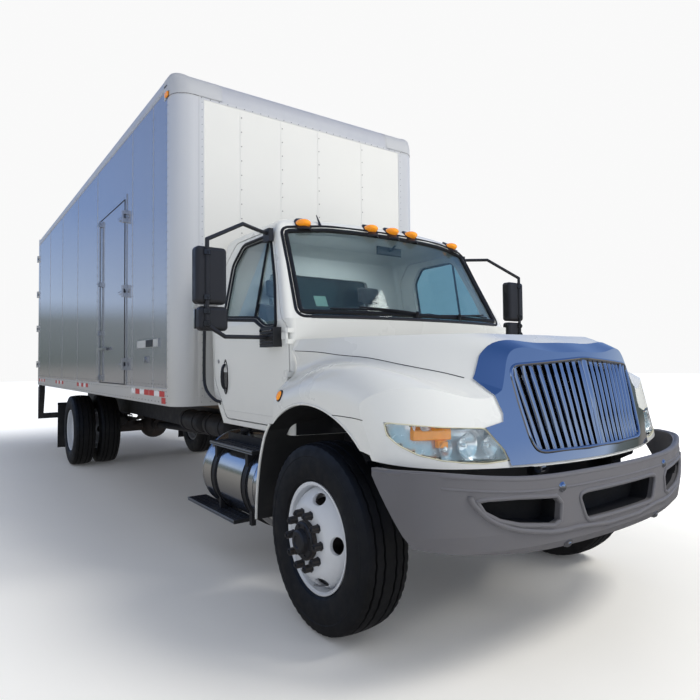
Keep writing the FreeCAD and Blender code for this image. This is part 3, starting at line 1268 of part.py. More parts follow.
def rear_door(s):
    """One of the two rear doors, with its hinge straps and lock rod."""
    g = PANEL_GAP
    y0, y1 = g, BODY_HALF - REAR_POST_W - g
    z0, z1 = FLOOR_TOP + g, BODY_TOP - TOP_RAIL_H - g
    panel = box(BODY_REAR, BODY_REAR + REAR_DOOR_T, y0, y1, z0, z1)
    pieces = [panel]
    pin_x, pin_y = BODY_REAR - HINGE_BACK, BODY_HALF + HINGE_OUT
    bores = []
    for z in rear_hinge_heights():
        low, high = z - KNUCKLE_HALF, z + KNUCKLE_HALF
        pieces.append(cyl_z(pin_x, pin_y, BARREL_R, low, high))
        pieces.append(box(pin_x - 4, pin_x + 6, y1 - 170, pin_y, low, high))
        pieces.append(box(pin_x, BODY_REAR + 1, y1 - 170, y1 - 20, low, high))
        bores.append(cyl_z(pin_x, pin_y, PIN_R + PIN_GAP, low - 1, high + 1))
    rod_x, rod_y = BODY_REAR - ROD_STAND, 130.0
    pieces.append(cyl_z(rod_x, rod_y, LOCK_ROD_R, z0 + 10, z1 - 10))
    for z in (z0 + 60, z0 + 620, z0 + 1240, z0 + 1860, z1 - 60):
        pieces.append(box(rod_x, BODY_REAR + 1, rod_y - 28, rod_y + 28, z - 25, z + 25))
    handle_z = z0 + 420
    pieces.append(box(rod_x - 8, rod_x + 8, rod_y - 14, rod_y + 330, handle_z - 14, handle_z + 14))
    door = fuse(pieces).cut(Part.makeCompound(bores))
    return door if s > 0 else other_side(door)


# Under and behind the body

def rear_step():
    """Rear impact guard with its two side hangers and step bar."""
    back = REAR_AXLE - REAR_OVERHANG
    top = BODY_BOTTOM
    pieces = [box(back, back + 70, -1180, 1180, GUARD_Z - 50, GUARD_Z + 50)]
    holes = [cyl_x(s * PLATE_SPACING / 2, GUARD_Z, PLATE_HOLE_R, back - 5, back + 75) for s in (-1, 1)]
    for s in (-1, 1):
        y0, y1 = sorted((s * 1165, s * 1250))
        hanger = [(BODY_REAR + 75, top), (BODY_REAR + 75, top - 140), (back + 70, 560), (back + 70, 470),
                  (back, 470), (back, top - 60), (BODY_REAR - 20, top)]
        pieces.append(prism(hanger, "y", y0, y1))
        y0, y1 = sorted((s * (RAIL_OUT_Y - 70), s * (RAIL_OUT_Y - 10)))
        strut = [(BODY_REAR + RAIL_REAR_INSET, RAIL_TOP - 10), (BODY_REAR + RAIL_REAR_INSET, RAIL_TOP - RAIL_H),
                 (back + 60, 480), (back + 10, 480), (back + 10, 560)]
        pieces.append(prism(strut, "y", y0, y1))
    return fuse(pieces).cut(Part.makeCompound(holes))


GUARD_Z = 520.0
PLATE_SPACING = 178.0        # number plate screws, 7 in apart
PLATE_HOLE_R = 3.5


def mudflap(s):
    """Rubber flap behind the rear duals on its bracket from the rail."""
    x = REAR_AXLE - 690
    y0, y1 = sorted((s * 620, s * 1265))
    flap = box(x - 6, x + 6, y0, y1, 185, 850)
    b0, b1 = sorted((s * RAIL_OUT_Y, s * 1265))
    bracket = box(x - 20, x + 20, b0, b1, 850, 885)
    return fuse([flap, bracket])


def fuel_tank():
    """Round aluminium tank with domed ends and a filler neck."""
    length = TANK_FRONT - TANK_REAR
    tank = cyl_x(-TANK_Y, TANK_Z, TANK_R, TANK_REAR, TANK_FRONT)
    edges = [e for e in tank.Edges if e.Closed]
    tank = tank.makeFillet(28, edges)
    neck = V(ax(TANK_REAR + 0.40 * length), -TANK_Y, TANK_Z)
    lean = V(0, -math.sin(FILLER_LEAN), math.cos(FILLER_LEAN))
    return fuse([tank, Part.makeCylinder(38, TANK_R + 34, neck, lean)])


FILLER_LEAN = math.radians(16)


def high_step(inner_y):
    """Right-hand upper step: a tread with a raised flange along its inner edge."""
    x0, x1 = HIGH_STEP_X
    tread = box(x0, x1, -HIGH_STEP_OUT_Y, -inner_y, HIGH_STEP_Z - STEP_T, HIGH_STEP_Z)
    flange = box(x0, x1, -inner_y - 14, -inner_y, HIGH_STEP_Z - STEP_T, HIGH_STEP_Z + HIGH_STEP_LIFT)
    return fuse([tread, flange])


def tank_brackets():
    """The tank's two straps and cradles from the rail, and the steps they carry."""
    pieces = []
    around = cyl_x(-TANK_Y, TANK_Z, TANK_R, TANK_REAR - STRAP_W, TANK_FRONT + STRAP_W)
    low_inner = LOW_STEP_OUT_Y - LOW_STEP_D
    for x in STRAPS_X:
        near, far = x - STRAP_W / 2, x + STRAP_W / 2
        ring = cyl_x(-TANK_Y, TANK_Z, TANK_R + STRAP_T, near, far)
        cradle = box(near, far, -(TANK_Y - TANK_R + 60), -RAIL_OUT_Y, TANK_Z - 150, TANK_Z + 250)
        hanger = box(x - 20, x + 20, -(low_inner + 90), -(low_inner + 60), LOW_STEP_Z - 15, TANK_Z)
        shelf = box(x - 20, x + 20, -(HIGH_STEP_OUT_Y - 40), -(TANK_Y + 160), TANK_Z + 130, HIGH_STEP_Z - 10)
        pieces += [part.cut(around) for part in (ring, cradle, hanger, shelf)]
    pieces.append(box(*LOW_STEP_X, -LOW_STEP_OUT_Y, -low_inner, LOW_STEP_Z - STEP_T, LOW_STEP_Z))
    clear = cyl_x(-TANK_Y, TANK_Z, TANK_R + 1, TANK_REAR - STRAP_W, TANK_FRONT + STRAP_W)
    pieces.append(high_step(TANK_Y + 165).cut(clear))
    return fuse(pieces)


BATTERY_IN_Y = 520.0


def battery_box():
    """Left-hand battery and treatment box under the driver's door, with its two steps."""
    body = box(TANK_REAR, TANK_FRONT, BATTERY_IN_Y, 980, 470, 850)
    low = box(*LOW_STEP_X, LOW_STEP_OUT_Y - LOW_STEP_D, LOW_STEP_OUT_Y, LOW_STEP_Z - STEP_T, LOW_STEP_Z)
    pieces = [body, low, other_side(high_step(TANK_Y + 165))]
    for x in STRAPS_X:
        pieces.append(box(x - 20, x + 20, 940, 1010, LOW_STEP_Z - 10, 480))
        pieces.append(box(x - 20, x + 20, 940, 1090, 800, HIGH_STEP_Z - 10))
        pieces.append(box(x - 40, x + 40, RAIL_OUT_Y, BATTERY_IN_Y + 10, RAIL_TOP - 220, RAIL_TOP - 150))
    return fuse(pieces)


TAIL = [(-452, 1090), (-488, 1054), (-527, 1000), (-558, 934), (-585, 860), (-606, 780), (-622, 700),
        (-634, 615), (-642, 530), (-643, 482)]


def splash_panel(s):
    """Tail of the wheel arch behind the front wheel: a curved panel that hangs under the cab's floor and
    runs on up beside it to the end of the bonnet's arch."""
    front = [V(ax(x), 0, z) for x, z in TAIL]
    back = [p + V(-SKIRT_T, 0, -0.35 * SKIRT_T) for p in front]
    wire = Part.Wire([spline(front), line(front[-1], back[-1]), spline(back[::-1]), line(back[0], front[0])])
    panel = Part.Face(wire).extrude(V(0, SKIRT_OUT_Y, 0))
    panel = panel.cut(box(-900, -300, -1, 560, 400, 1200))
    panel = panel.cut(box(-900, -300, 0, CAB_HALF - 12, CAB_BOTTOM, 1200))
    return panel if s > 0 else other_side(panel)


# Lamps and mirrors

def roof_lamp(y):
    """One amber lamp on the cab's roof edge."""
    x = CAB_FRONT - COWL_LEDGE - WINDSCREEN_RAKE + CAB_BULGE * (1 - (y / CAB_HALF_ROOF) ** 2) - 32
    return x, y


def marker_lamps(cab):
    """Amber lamps on the cab's roof and on the body's front corner caps."""
    lamps = []
    for y in ROOF_LAMP_Y:
        x, _ = roof_lamp(y)
        dome = Part.makeSphere(52, V(ax(x), y, 0))
        matrix = FreeCAD.Matrix()
        matrix.scale(1.35, 1.0, 0.62)
        z = roof_height(cab, ax(x), y)
        dome = dome.translated(V(-ax(x), -y, 0)).transformGeometry(matrix).translated(V(ax(x), y, z + 4))
        lamps.append(dome.cut(cab))
    solids = []
    for lamp in lamps:
        solids.append(max(lamp.Solids, key=lambda q: q.BoundBox.ZMax))
    for s in (-1, 1):
        y0, y1 = sorted((s * BODY_HALF, s * (BODY_HALF + 18)))
        x = BODY_FRONT - CORNER_R - 22
        solids.append(box(x - 42, x + 20, y0, y1, BODY_TOP - CORNER + 8, BODY_TOP - CORNER_R - 4))
    return Part.makeCompound(solids)


ROOF_LAMP_Y = (-722.0, -195.0, 0.0, 195.0, 722.0)


def roof_height(cab, x, y):
    """Height of the cab's roof above a place."""
    probe = line(V(x, y, CAB_BELT), V(x, y, ROOF_TOP + 200))
    return cab.common(probe).BoundBox.ZMax


MIRROR_X = -680.0
MIRROR_TUBE_R = 13.0
MIRROR_OUT_Y = 1466.0


def mirror():
    """Right-hand door mirror: two brackets, a bent tube and the main and wide-angle heads."""
    x = ax(MIRROR_X)
    y = -MIRROR_OUT_Y
    top_foot = V(ax(-905), -918, 2352)
    path = [top_foot, V(ax(-900), -1015, 2368), V(ax(-800), -1180, 2372), V(x, y, 2215), V(x, y, 1690),
            V(ax(-662), -1360, 1622), V(ax(-655), -1050, 1622)]
    pieces = [tube_path(path, MIRROR_TUBE_R)]
    pieces.append(Part.makeBox(90, 34, 90, V(ax(-955), -960, 2300)))
    plate = Part.makeBox(190, 62, 125, V(ax(-750), -CAB_HALF - 58, 1560))
    pieces.append(plate)
    main = Part.makeBox(95, 196, 352, V(x - 95, y - 66, 1822))
    wide = Part.makeBox(85, 184, 150, V(x - 88, y - 44, 1658))
    for head in (main, wide):
        pieces.append(head.makeFillet(26, head.Edges))
    return fuse(pieces)


def main():
    os.makedirs("parts", exist_ok=True)
    cab, doors, door_panes, glass = build_cab()
    bonnet, grille, headlamps = build_bonnet()
    export("frame_rails", frame_rails())
    export("frame_crossmembers", crossmembers())
    export("front_axle", front_axle())
    export("rear_axle", rear_axle())
    export("leaf_springs", leaf_springs())
    export("driveshaft", driveshaft())
    export("engine", engine())
    export("radiator", radiator())
    export("fuel_tank", fuel_tank())
    export("tank_brackets_steps", tank_brackets())
    export("battery_box", battery_box())
    export("splash_panels", Part.makeCompound([splash_panel(1), splash_panel(-1)]))
    export("front_bumper", front_bumper())
    export("rear_step", rear_step())
    export("mudflaps", Part.makeCompound([mudflap(1), mudflap(-1)]))
    export("cab_shell", cab)
    export("cab_glass", glass)
    export("dashboard", dashboard())
    export("seats", Part.makeCompound([seat(STEER_Y), seat(-STEER_Y)]))
    export("steering_wheel", steering_wheel())
    export("marker_lamps", marker_lamps(cab))
    export("body_floor", body_floor())
    export("body_front_wall", front_wall())
    export("body_wall_left", side_wall(1))
    export("body_wall_right", side_wall(-1))
    export("body_roof", roof())
    export("body_corner_posts", Part.makeCompound([corner_post(1), corner_post(-1)]))
    rails = [front_top_rail()] + [f(s) for f in (side_top_rail, side_bottom_rail) for s in (1, -1)]
    export("body_rails", Part.makeCompound(rails))
    export("body_rear_frame", rear_frame())
    export("side_door", side_door())
    for name, s in (("left", 1), ("right", -1)):
        export(f"rear_door_{name}", rear_door(s))
        export(f"cab_door_{name}", doors[name])
        export(f"cab_door_glass_{name}", door_panes[name])
        arm = mirror().cut(doors["right"])
        arm = max(arm.Solids, key=lambda q: q.Volume)
        export(f"mirror_{name}", arm if s < 0 else other_side(arm))
        export(f"knuckle_{name}", knuckle(s))
        for place, make in (("front", front_wheel), ("rear", rear_wheels)):
            many = "" if place == "front" else "s"
            tyres, rims, hubs = make(s)
            export(f"tyre{many}_{place}_{name}", tyres)
            export(f"rim{many}_{place}_{name}", rims)
            export(f"hub{many}_{place}_{name}", hubs)
    export("tie_rod", tie_rod())
    export("bonnet", bonnet)
    export("grille", grille)
    export("headlamps", headlamps)


main()
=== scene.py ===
"""Looks of the box truck: materials, fine detail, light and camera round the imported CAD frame."""
import math
import bmesh
import bpy
from mathutils import Matrix, Vector, geometry
from mathutils.bvhtree import BVHTree


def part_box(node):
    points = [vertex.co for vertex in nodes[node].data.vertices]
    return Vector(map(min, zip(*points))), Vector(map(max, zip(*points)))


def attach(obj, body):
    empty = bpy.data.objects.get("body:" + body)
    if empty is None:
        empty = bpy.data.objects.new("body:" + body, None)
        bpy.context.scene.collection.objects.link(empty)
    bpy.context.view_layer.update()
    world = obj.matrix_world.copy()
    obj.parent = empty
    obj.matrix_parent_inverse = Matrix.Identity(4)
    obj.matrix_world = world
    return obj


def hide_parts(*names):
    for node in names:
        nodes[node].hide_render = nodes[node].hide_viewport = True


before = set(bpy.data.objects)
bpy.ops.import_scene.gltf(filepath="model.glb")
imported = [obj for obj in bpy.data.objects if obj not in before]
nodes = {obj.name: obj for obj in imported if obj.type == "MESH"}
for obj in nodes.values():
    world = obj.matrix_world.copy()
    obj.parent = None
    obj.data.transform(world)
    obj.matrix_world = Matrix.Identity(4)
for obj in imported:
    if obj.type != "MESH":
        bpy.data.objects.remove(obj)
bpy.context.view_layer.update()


def centre(node):
    low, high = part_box(node)
    return (Vector(low) + Vector(high)) / 2


AXLE = centre("tyre_front_left").x
REAR_AXLE = centre("tyres_rear_left").x - AXLE
TYRE_R = centre("tyre_front_left").z


def at(x, y, z):
    """A place given from the front axle, in metres."""
    return Vector((AXLE + x, y, z))


def turns(count):
    """Angles that share out a full turn."""
    return [2 * math.pi * k / count for k in range(count)]


SIDES = ("left", 1), ("right", -1)

# Materials

def node_of(tree, kind, **values):
    made = tree.nodes.new(kind)
    for key, value in values.items():
        setattr(made, key, value)
    return made


def material(name, color, rough=0.5, metal=0.0, coat=0.0, vary=0.05, vary_scale=3.0, rough_vary=0.08,
             bump=0.0,
             bump_scale=60.0, dirt=0.0, dirt_top=1.0, dirt_color=(0.16, 0.14, 0.12), stretch=(1, 1, 1),
             **sockets):
    """A shader whose colour, gloss and bump vary with place, with road dirt that fades upwards."""
    made = bpy.data.materials.new(name)
    made.use_nodes = True
    tree = made.node_tree
    shader = tree.nodes["Principled BSDF"]
    link = tree.links.new
    coords = node_of(tree, "ShaderNodeTexCoord")
    mapping = node_of(tree, "ShaderNodeMapping")
    mapping.inputs["Scale"].default_value = stretch
    link(coords.outputs["Object"], mapping.inputs["Vector"])
    noise = node_of(tree, "ShaderNodeTexNoise")
    noise.inputs["Scale"].default_value = vary_scale
    noise.inputs["Detail"].default_value = 5.0
    link(mapping.outputs["Vector"], noise.inputs["Vector"])
    low = [max(c * (1 - vary), 0.0) for c in color[:3]] + [1]
    high = [min(c * (1 + vary), 1.0) for c in color[:3]] + [1]
    mix = node_of(tree, "ShaderNodeMix", data_type="RGBA")
    mix.inputs["A"].default_value = low
    mix.inputs["B"].default_value = high
    link(noise.outputs["Fac"], mix.inputs["Factor"])
    colour_out = mix.outputs["Result"]
    spread = node_of(tree, "ShaderNodeMapRange")
    spread.inputs["From Min"].default_value = 0.3
    spread.inputs["From Max"].default_value = 0.7
    spread.inputs["To Min"].default_value = max(rough - rough_vary, 0.02)
    spread.inputs["To Max"].default_value = min(rough + rough_vary, 1.0)
    link(noise.outputs["Fac"], spread.inputs["Value"])
    rough_out = spread.outputs["Result"]
    if dirt > 0:
        split = node_of(tree, "ShaderNodeSeparateXYZ")
        link(coords.outputs["Object"], split.inputs["Vector"])
        height = node_of(tree, "ShaderNodeMapRange")
        height.inputs["From Min"].default_value = dirt_top
        height.inputs["From Max"].default_value = 0.15
        height.inputs["To Min"].default_value = 0.0
        height.inputs["To Max"].default_value = 1.0
        link(split.outputs["Z"], height.inputs["Value"])
        blotch = node_of(tree, "ShaderNodeTexNoise")
        blotch.inputs["Scale"].default_value = 9.0
        blotch.inputs["Detail"].default_value = 8.0
        link(coords.outputs["Object"], blotch.inputs["Vector"])
        sharp = node_of(tree, "ShaderNodeMapRange")
        sharp.inputs["From Min"].default_value = 0.35
        sharp.inputs["From Max"].default_value = 0.7
        link(blotch.outputs["Fac"], sharp.inputs["Value"])
        amount = node_of(tree, "ShaderNodeMath", operation="MULTIPLY")
        link(height.outputs["Result"], amount.inputs[0])
        link(sharp.outputs["Result"], amount.inputs[1])
        scaled = node_of(tree, "ShaderNodeMath", operation="MULTIPLY", use_clamp=True)
        scaled.inputs[1].default_value = dirt
        link(amount.outputs[0], scaled.inputs[0])
        soil = node_of(tree, "ShaderNodeMix", data_type="RGBA")
        soil.inputs["B"].default_value = (*dirt_color, 1)
        link(colour_out, soil.inputs["A"])
        link(scaled.outputs[0], soil.inputs["Factor"])
        colour_out = soil.outputs["Result"]
    link(colour_out, shader.inputs["Base Color"])
    link(rough_out, shader.inputs["Roughness"])
    shader.inputs["Metallic"].default_value = metal
    if coat:
        shader.inputs["Coat Weight"].default_value = coat
        shader.inputs["Coat Roughness"].default_value = 0.04
    if bump > 0:
        grain = node_of(tree, "ShaderNodeTexNoise")
        grain.inputs["Scale"].default_value = bump_scale
        grain.inputs["Detail"].default_value = 4.0
        link(mapping.outputs["Vector"], grain.inputs["Vector"])
        relief = node_of(tree, "ShaderNodeBump")
        relief.inputs["Strength"].default_value = bump
        relief.inputs["Distance"].default_value = 0.002
        link(grain.outputs["Fac"], relief.inputs["Height"])
        link(relief.outputs["Normal"], shader.inputs["Normal"])
    for key, value in sockets.items():
        shader.inputs[key.replace("_", " ")].default_value = value
    return made


def glass(name, color, rough=0.02, alpha=None):
    made = material(name, color, rough=rough, vary=0.02, rough_vary=0.01, Transmission_Weight=1.0, IOR=1.45)
    if alpha is not None:
        made.node_tree.nodes["Principled BSDF"].inputs["Alpha"].default_value = alpha
    return made


M = {
    "cab_paint": material("cab_paint", (0.70, 0.705, 0.68), rough=0.30, coat=0.6, vary=0.015, vary_scale=1.3,
                          rough_vary=0.05, bump=0.02, bump_scale=240, dirt=0.35, dirt_top=1.25),
    "wheel_paint": material("wheel_paint", (0.62, 0.64, 0.67), rough=0.38, coat=0.3, vary=0.04, vary_scale=9,
                            dirt=0.3, dirt_top=0.75, dirt_color=(0.3, 0.27, 0.23)),
    "body_skin": material("body_skin", (0.46, 0.48, 0.52), rough=0.13, metal=0.6, coat=0.6, vary=0.02,
                          vary_scale=0.7,
                          rough_vary=0.04, bump=0.015, bump_scale=1.5, dirt=0.2, dirt_top=1.5),
    "body_front": material("body_front", (0.60, 0.60, 0.58), rough=0.45, vary=0.03, vary_scale=1.5, bump=0.05,
                           bump_scale=5),
    "mill": material("mill", (0.68, 0.67, 0.65), rough=0.38, metal=0.5, vary=0.06, vary_scale=14,
                     rough_vary=0.1,
                     stretch=(0.15, 1, 1), bump=0.05, bump_scale=90, dirt=0.3, dirt_top=1.35),
    "mill_upright": material("mill_upright", (0.70, 0.69, 0.66), rough=0.34, metal=0.45, vary=0.02,
                             vary_scale=10,
                             rough_vary=0.03, stretch=(1, 1, 0.12), bump=0.01, bump_scale=300),
    "cast_alu": material("cast_alu", (0.58, 0.58, 0.57), rough=0.5, metal=0.35, vary=0.05, vary_scale=30,
                         bump=0.06,
                         bump_scale=220),
    "chrome": material("chrome", (0.66, 0.67, 0.70), rough=0.055, metal=1.0, vary=0.02, vary_scale=6,
                       rough_vary=0.03,
                       bump=0.015, bump_scale=30),
    "bumper": material("bumper", (0.125, 0.123, 0.133), rough=0.42, vary=0.06, vary_scale=8, bump=0.12,
                       bump_scale=420,
                       dirt=0.4, dirt_top=0.9),
    "frame_black": material("frame_black", (0.022, 0.022, 0.024), rough=0.55, vary=0.3, vary_scale=12,
                            bump=0.15,
                            bump_scale=160, dirt=0.7, dirt_top=1.2, dirt_color=(0.09, 0.08, 0.07)),
    "spring_steel": material("spring_steel", (0.05, 0.047, 0.045), rough=0.6, metal=0.4, vary=0.3,
                             vary_scale=20,
                             bump=0.2, bump_scale=200, dirt=0.7, dirt_color=(0.12, 0.09, 0.07)),
    "cast_iron": material("cast_iron", (0.075, 0.07, 0.066), rough=0.62, metal=0.5, vary=0.3, vary_scale=25,
                          bump=0.35,
                          bump_scale=300, dirt=0.5, dirt_color=(0.14, 0.08, 0.05)),
    "black_plastic": material("black_plastic", (0.02, 0.02, 0.022), rough=0.42, vary=0.15, vary_scale=15,
                              bump=0.12,
                              bump_scale=700),
    "black_gloss": material("black_gloss", (0.012, 0.012, 0.013), rough=0.16, coat=0.4, vary=0.1,
                            vary_scale=10),
    "rubber": material("rubber", (0.018, 0.018, 0.018), rough=0.75, vary=0.2, vary_scale=20, bump=0.2,
                       bump_scale=250,
                       dirt=0.5, dirt_top=0.9, dirt_color=(0.07, 0.065, 0.06)),
    "tyre": material("tyre", (0.0055, 0.0055, 0.006), rough=0.60, vary=0.25, vary_scale=14, rough_vary=0.12,
                     bump=0.25,
                     bump_scale=320, dirt=0.35, dirt_top=0.9, dirt_color=(0.018, 0.017, 0.016)),
    "polished": material("polished", (0.78, 0.79, 0.80), rough=0.16, metal=1.0, vary=0.04, vary_scale=18,
                         rough_vary=0.07,
                         stretch=(4, 1, 1), bump=0.04, bump_scale=40),
    "step_plate": material("step_plate", (0.05, 0.05, 0.052), rough=0.5, metal=0.6, vary=0.2, vary_scale=20,
                           bump=0.3,
                           bump_scale=120),
    "roof_skin": material("roof_skin", (0.72, 0.73, 0.74), rough=0.42, metal=0.5, vary=0.08, vary_scale=2,
                          dirt=0.0,
                          bump=0.05, bump_scale=4),
    "wood_floor": material("wood_floor", (0.17, 0.12, 0.08), rough=0.7, vary=0.35, vary_scale=9,
                           stretch=(0.12, 6, 1),
                           bump=0.3, bump_scale=60),
    "seat_cloth": material("seat_cloth", (0.045, 0.047, 0.052), rough=0.9, vary=0.25, vary_scale=60, bump=0.5,
                           bump_scale=900, Sheen_Weight=0.4),
    "seat_vinyl": material("seat_vinyl", (0.03, 0.03, 0.032), rough=0.5, vary=0.15, vary_scale=30, bump=0.4,
                           bump_scale=500),
    "amber": material("amber", (0.95, 0.33, 0.02), rough=0.2, vary=0.06, vary_scale=60, coat=0.5,
                      Emission_Color=(1.0, 0.32, 0.02, 1), Emission_Strength=0.12),
    "red_lens": material("red_lens", (0.55, 0.015, 0.012), rough=0.18, vary=0.05, vary_scale=60, coat=0.5),
    "tape_red": material("tape_red", (0.5, 0.03, 0.03), rough=0.35, vary=0.12, vary_scale=180),
    "tape_white": material("tape_white", (0.72, 0.73, 0.74), rough=0.3, vary=0.06, vary_scale=180),
    "seal": material("seal", (0.012, 0.012, 0.012), rough=0.6, vary=0.1, vary_scale=40),
    "dark": material("dark", (0.006, 0.006, 0.007), rough=0.8, vary=0.2, vary_scale=20),
    "bolt": material("bolt", (0.45, 0.45, 0.46), rough=0.3, metal=0.9, vary=0.15, vary_scale=50),
    "sticker": material("sticker", (0.42, 0.66, 0.56), rough=0.4, vary=0.04, vary_scale=30),
    "cab_glass": glass("cab_glass", (0.62, 0.68, 0.69)),
    "lens_clear": glass("lens_clear", (0.95, 0.96, 0.97), rough=0.03),
    "mirror_face": material("mirror_face", (0.85, 0.87, 0.88), rough=0.03, metal=1.0, vary=0.01,
                            rough_vary=0.01),
    "liner": material("liner", (0.010, 0.010, 0.011), rough=0.85, vary=0.3, vary_scale=18, bump=0.3,
                      bump_scale=90,
                      dirt=0.3, dirt_top=1.3, dirt_color=(0.05, 0.045, 0.04)),
    "lamp_bezel": material("lamp_bezel", (0.82, 0.83, 0.84), rough=0.22, metal=0.45, vary=0.06,
                           vary_scale=30),
    "lamp_seal": material("lamp_seal", (0.60, 0.57, 0.42), rough=0.5, vary=0.1, vary_scale=40),
    "exhaust": material("exhaust", (0.17, 0.14, 0.12), rough=0.55, metal=0.7, vary=0.3, vary_scale=14,
                        bump=0.2,
                        bump_scale=120, dirt=0.4),
    "rivet": material("rivet", (0.20, 0.20, 0.20), rough=0.45, metal=0.4, vary=0.15, vary_scale=25),
    "step_edge": material("step_edge", (0.30, 0.30, 0.29), rough=0.45, metal=0.7, vary=0.25, vary_scale=30,
                          bump=0.2,
                          bump_scale=150),
    "reflector": material("reflector", (0.88, 0.89, 0.90), rough=0.22, metal=0.7, vary=0.03, vary_scale=40,
                          bump=0.1,
                          bump_scale=60),
}

CAD_LOOK = {
    "frame_rails": "frame_black", "frame_crossmembers": "frame_black", "front_axle": "cast_iron",
    "rear_axle": "cast_iron",
    "leaf_springs": "spring_steel", "driveshaft": "frame_black", "engine": "frame_black",
    "radiator": "black_plastic",
    "fuel_tank": "polished", "tank_brackets_steps": "step_plate", "battery_box": "step_plate",
    "splash_panels": "rubber", "front_bumper": "bumper", "rear_step": "frame_black", "mudflaps": "rubber",
    "cab_shell": "cab_paint", "cab_glass": "cab_glass", "dashboard": "black_plastic", "seats": "seat_cloth",
    "steering_wheel": "black_plastic", "marker_lamps": "amber", "body_floor": "wood_floor",
    "body_front_wall": "body_front", "body_wall_left": "body_skin", "body_wall_right": "body_skin",
    "body_roof": "roof_skin", "body_corner_posts": "mill_upright", "body_rails": "mill",
    "body_rear_frame": "mill_upright",
    "side_door": "body_skin", "rear_door_left": "body_skin", "rear_door_right": "body_skin",
    "cab_door_left": "cab_paint", "cab_door_right": "cab_paint", "cab_door_glass_left": "cab_glass",
    "cab_door_glass_right": "cab_glass", "mirror_left": "black_plastic", "mirror_right": "black_plastic",
    "knuckle_left": "cast_iron", "knuckle_right": "cast_iron", "tie_rod": "spring_steel",
    "tyre_front_left": "tyre", "tyre_front_right": "tyre", "tyres_rear_left": "tyre",
    "tyres_rear_right": "tyre",
    "rim_front_left": "wheel_paint", "rim_front_right": "wheel_paint", "rims_rear_left": "wheel_paint",
    "rims_rear_right": "wheel_paint", "bonnet": "cab_paint", "grille": "chrome", "headlamps": "lens_clear",
    "hub_front_left": "cast_iron", "hub_front_right": "cast_iron", "hubs_rear_left": "cast_iron",
    "hubs_rear_right": "cast_iron",
}
for name, piece in nodes.items():
    for spot in piece.material_slots:
        spot.material = M[CAD_LOOK[name]]


# Mesh building

class Shape:
    """Gathers faces for one piece and turns them into an object that rides on a body."""

    def __init__(self):
        self.points, self.faces = [], []

    def add(self, points, faces):
        base = len(self.points)
        self.points += [tuple(p) for p in points]
        self.faces += [[base + i for i in face] for face in faces]
        return self

    def box(self, low, high):
        (x0, y0, z0), (x1, y1, z1) = low, high
        corners = [(x, y, z) for x in (x0, x1) for y in (y0, y1) for z in (z0, z1)]
        return self.add(corners, [(0, 1, 3, 2), (4, 6, 7, 5), (0, 4, 5, 1), (2, 3, 7, 6), (0, 2, 6, 4),
                                  (1, 5, 7, 3)])

    def rings(self, loops, closed=True, caps=False):
        """Quads between following loops of equal length."""
        count = len(loops[0])
        points = [p for loop in loops for p in loop]
        faces = []
        for i in range(len(loops) - 1):
            for j in range(count if closed else count - 1):
                k = (j + 1) % count
                faces.append((i * count + j, i * count + k, (i + 1) * count + k, (i + 1) * count + j))
        if caps:
            faces.append(tuple(reversed(range(count))))
            faces.append(tuple((len(loops) - 1) * count + j for j in range(count)))
        return self.add(points, faces)

    def disc_stack(self, origin, axis, stack, steps=16):
        """Rings of (offset along axis, radius) about an axis; a radius of 0 closes to a point."""
        axis = Vector(axis).normalized()
        side = axis.orthogonal().normalized()
        up = axis.cross(side)
        loops = []
        for offset, radius in stack:
            middle = Vector(origin) + axis * offset
            loops.append([middle + (side * math.cos(a) + up * math.sin(a)) * radius
                          for a in turns(steps)])
        return self.rings(loops, caps=True)

    def tube(self, path, radius, steps=10, scale=None):
        """A round bar along a path of points."""
        path = [Vector(p) for p in path]
        loops, side = [], None
        for i, p in enumerate(path):
            along = (path[min(i + 1, len(path) - 1)] - path[max(i - 1, 0)]).normalized()
            if side is None:
                side = along.orthogonal().normalized()
            else:
                side = (side - along * side.dot(along)).normalized()
            up = along.cross(side)
            r = radius if scale is None else radius * scale[i]
            loops.append([p + (side * math.cos(a) + up * math.sin(a)) * r
                          for a in turns(steps)])
        return self.rings(loops, caps=True)

    def make(self, name, look, body, smooth=True, bevel=0.0, segments=2, solidify=0.0, subdivide=0,
             weld=False, angle=35):
        mesh = bpy.data.meshes.new(name)
        mesh.from_pydata(self.points, [], self.faces)
        mesh.validate()
        obj = bpy.data.objects.new(name, mesh)
        bpy.context.collection.objects.link(obj)
        mesh.materials.append(M[look])
        if weld:
            mod = obj.modifiers.new("weld", "WELD")
            mod.merge_threshold = 0.0002
        if subdivide:
            mod = obj.modifiers.new("sub", "SUBSURF")
            mod.levels = mod.render_levels = subdivide
        if solidify:
            mod = obj.modifiers.new("thick", "SOLIDIFY")
            mod.thickness = solidify
            mod.offset = 0
        if bevel:
            mod = obj.modifiers.new("bevel", "BEVEL")
            mod.width = bevel
            mod.segments = segments
            mod.limit_method = "ANGLE"
            mod.angle_limit = math.radians(40)
        if smooth:
            mesh.polygons.foreach_set("use_smooth", [True] * len(mesh.polygons))
            mesh.set_sharp_from_angle(angle=math.radians(angle))
        mesh.update()
        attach(obj, body)
        return obj


def mirrored(points):
    return [Vector((p[0], -p[1], p[2])) for p in points]


def smooth_path(points, steps=6):
    """Catmull-Rom points through the given ones."""
    pts = [Vector(p) for p in points]
    out = []
    for i in range(len(pts) - 1):
        a, b = pts[max(i - 1, 0)], pts[i]
        c, d = pts[i + 1], pts[min(i + 2, len(pts) - 1)]
        for k in range(steps):
            t = k / steps
            out.append(0.5 * ((2 * b) + (c - a) * t + (2 * a - 5 * b + 4 * c - d) * t * t
                              + (3 * b - a - 3 * c + d) * t * t * t))
    return out + [pts[-1]]


# Tyres with grooved treads

TREAD_STEPS = 168
TYRE_HALF = 0.1395
BEAD_R = 0.286
CROWN = 0.010


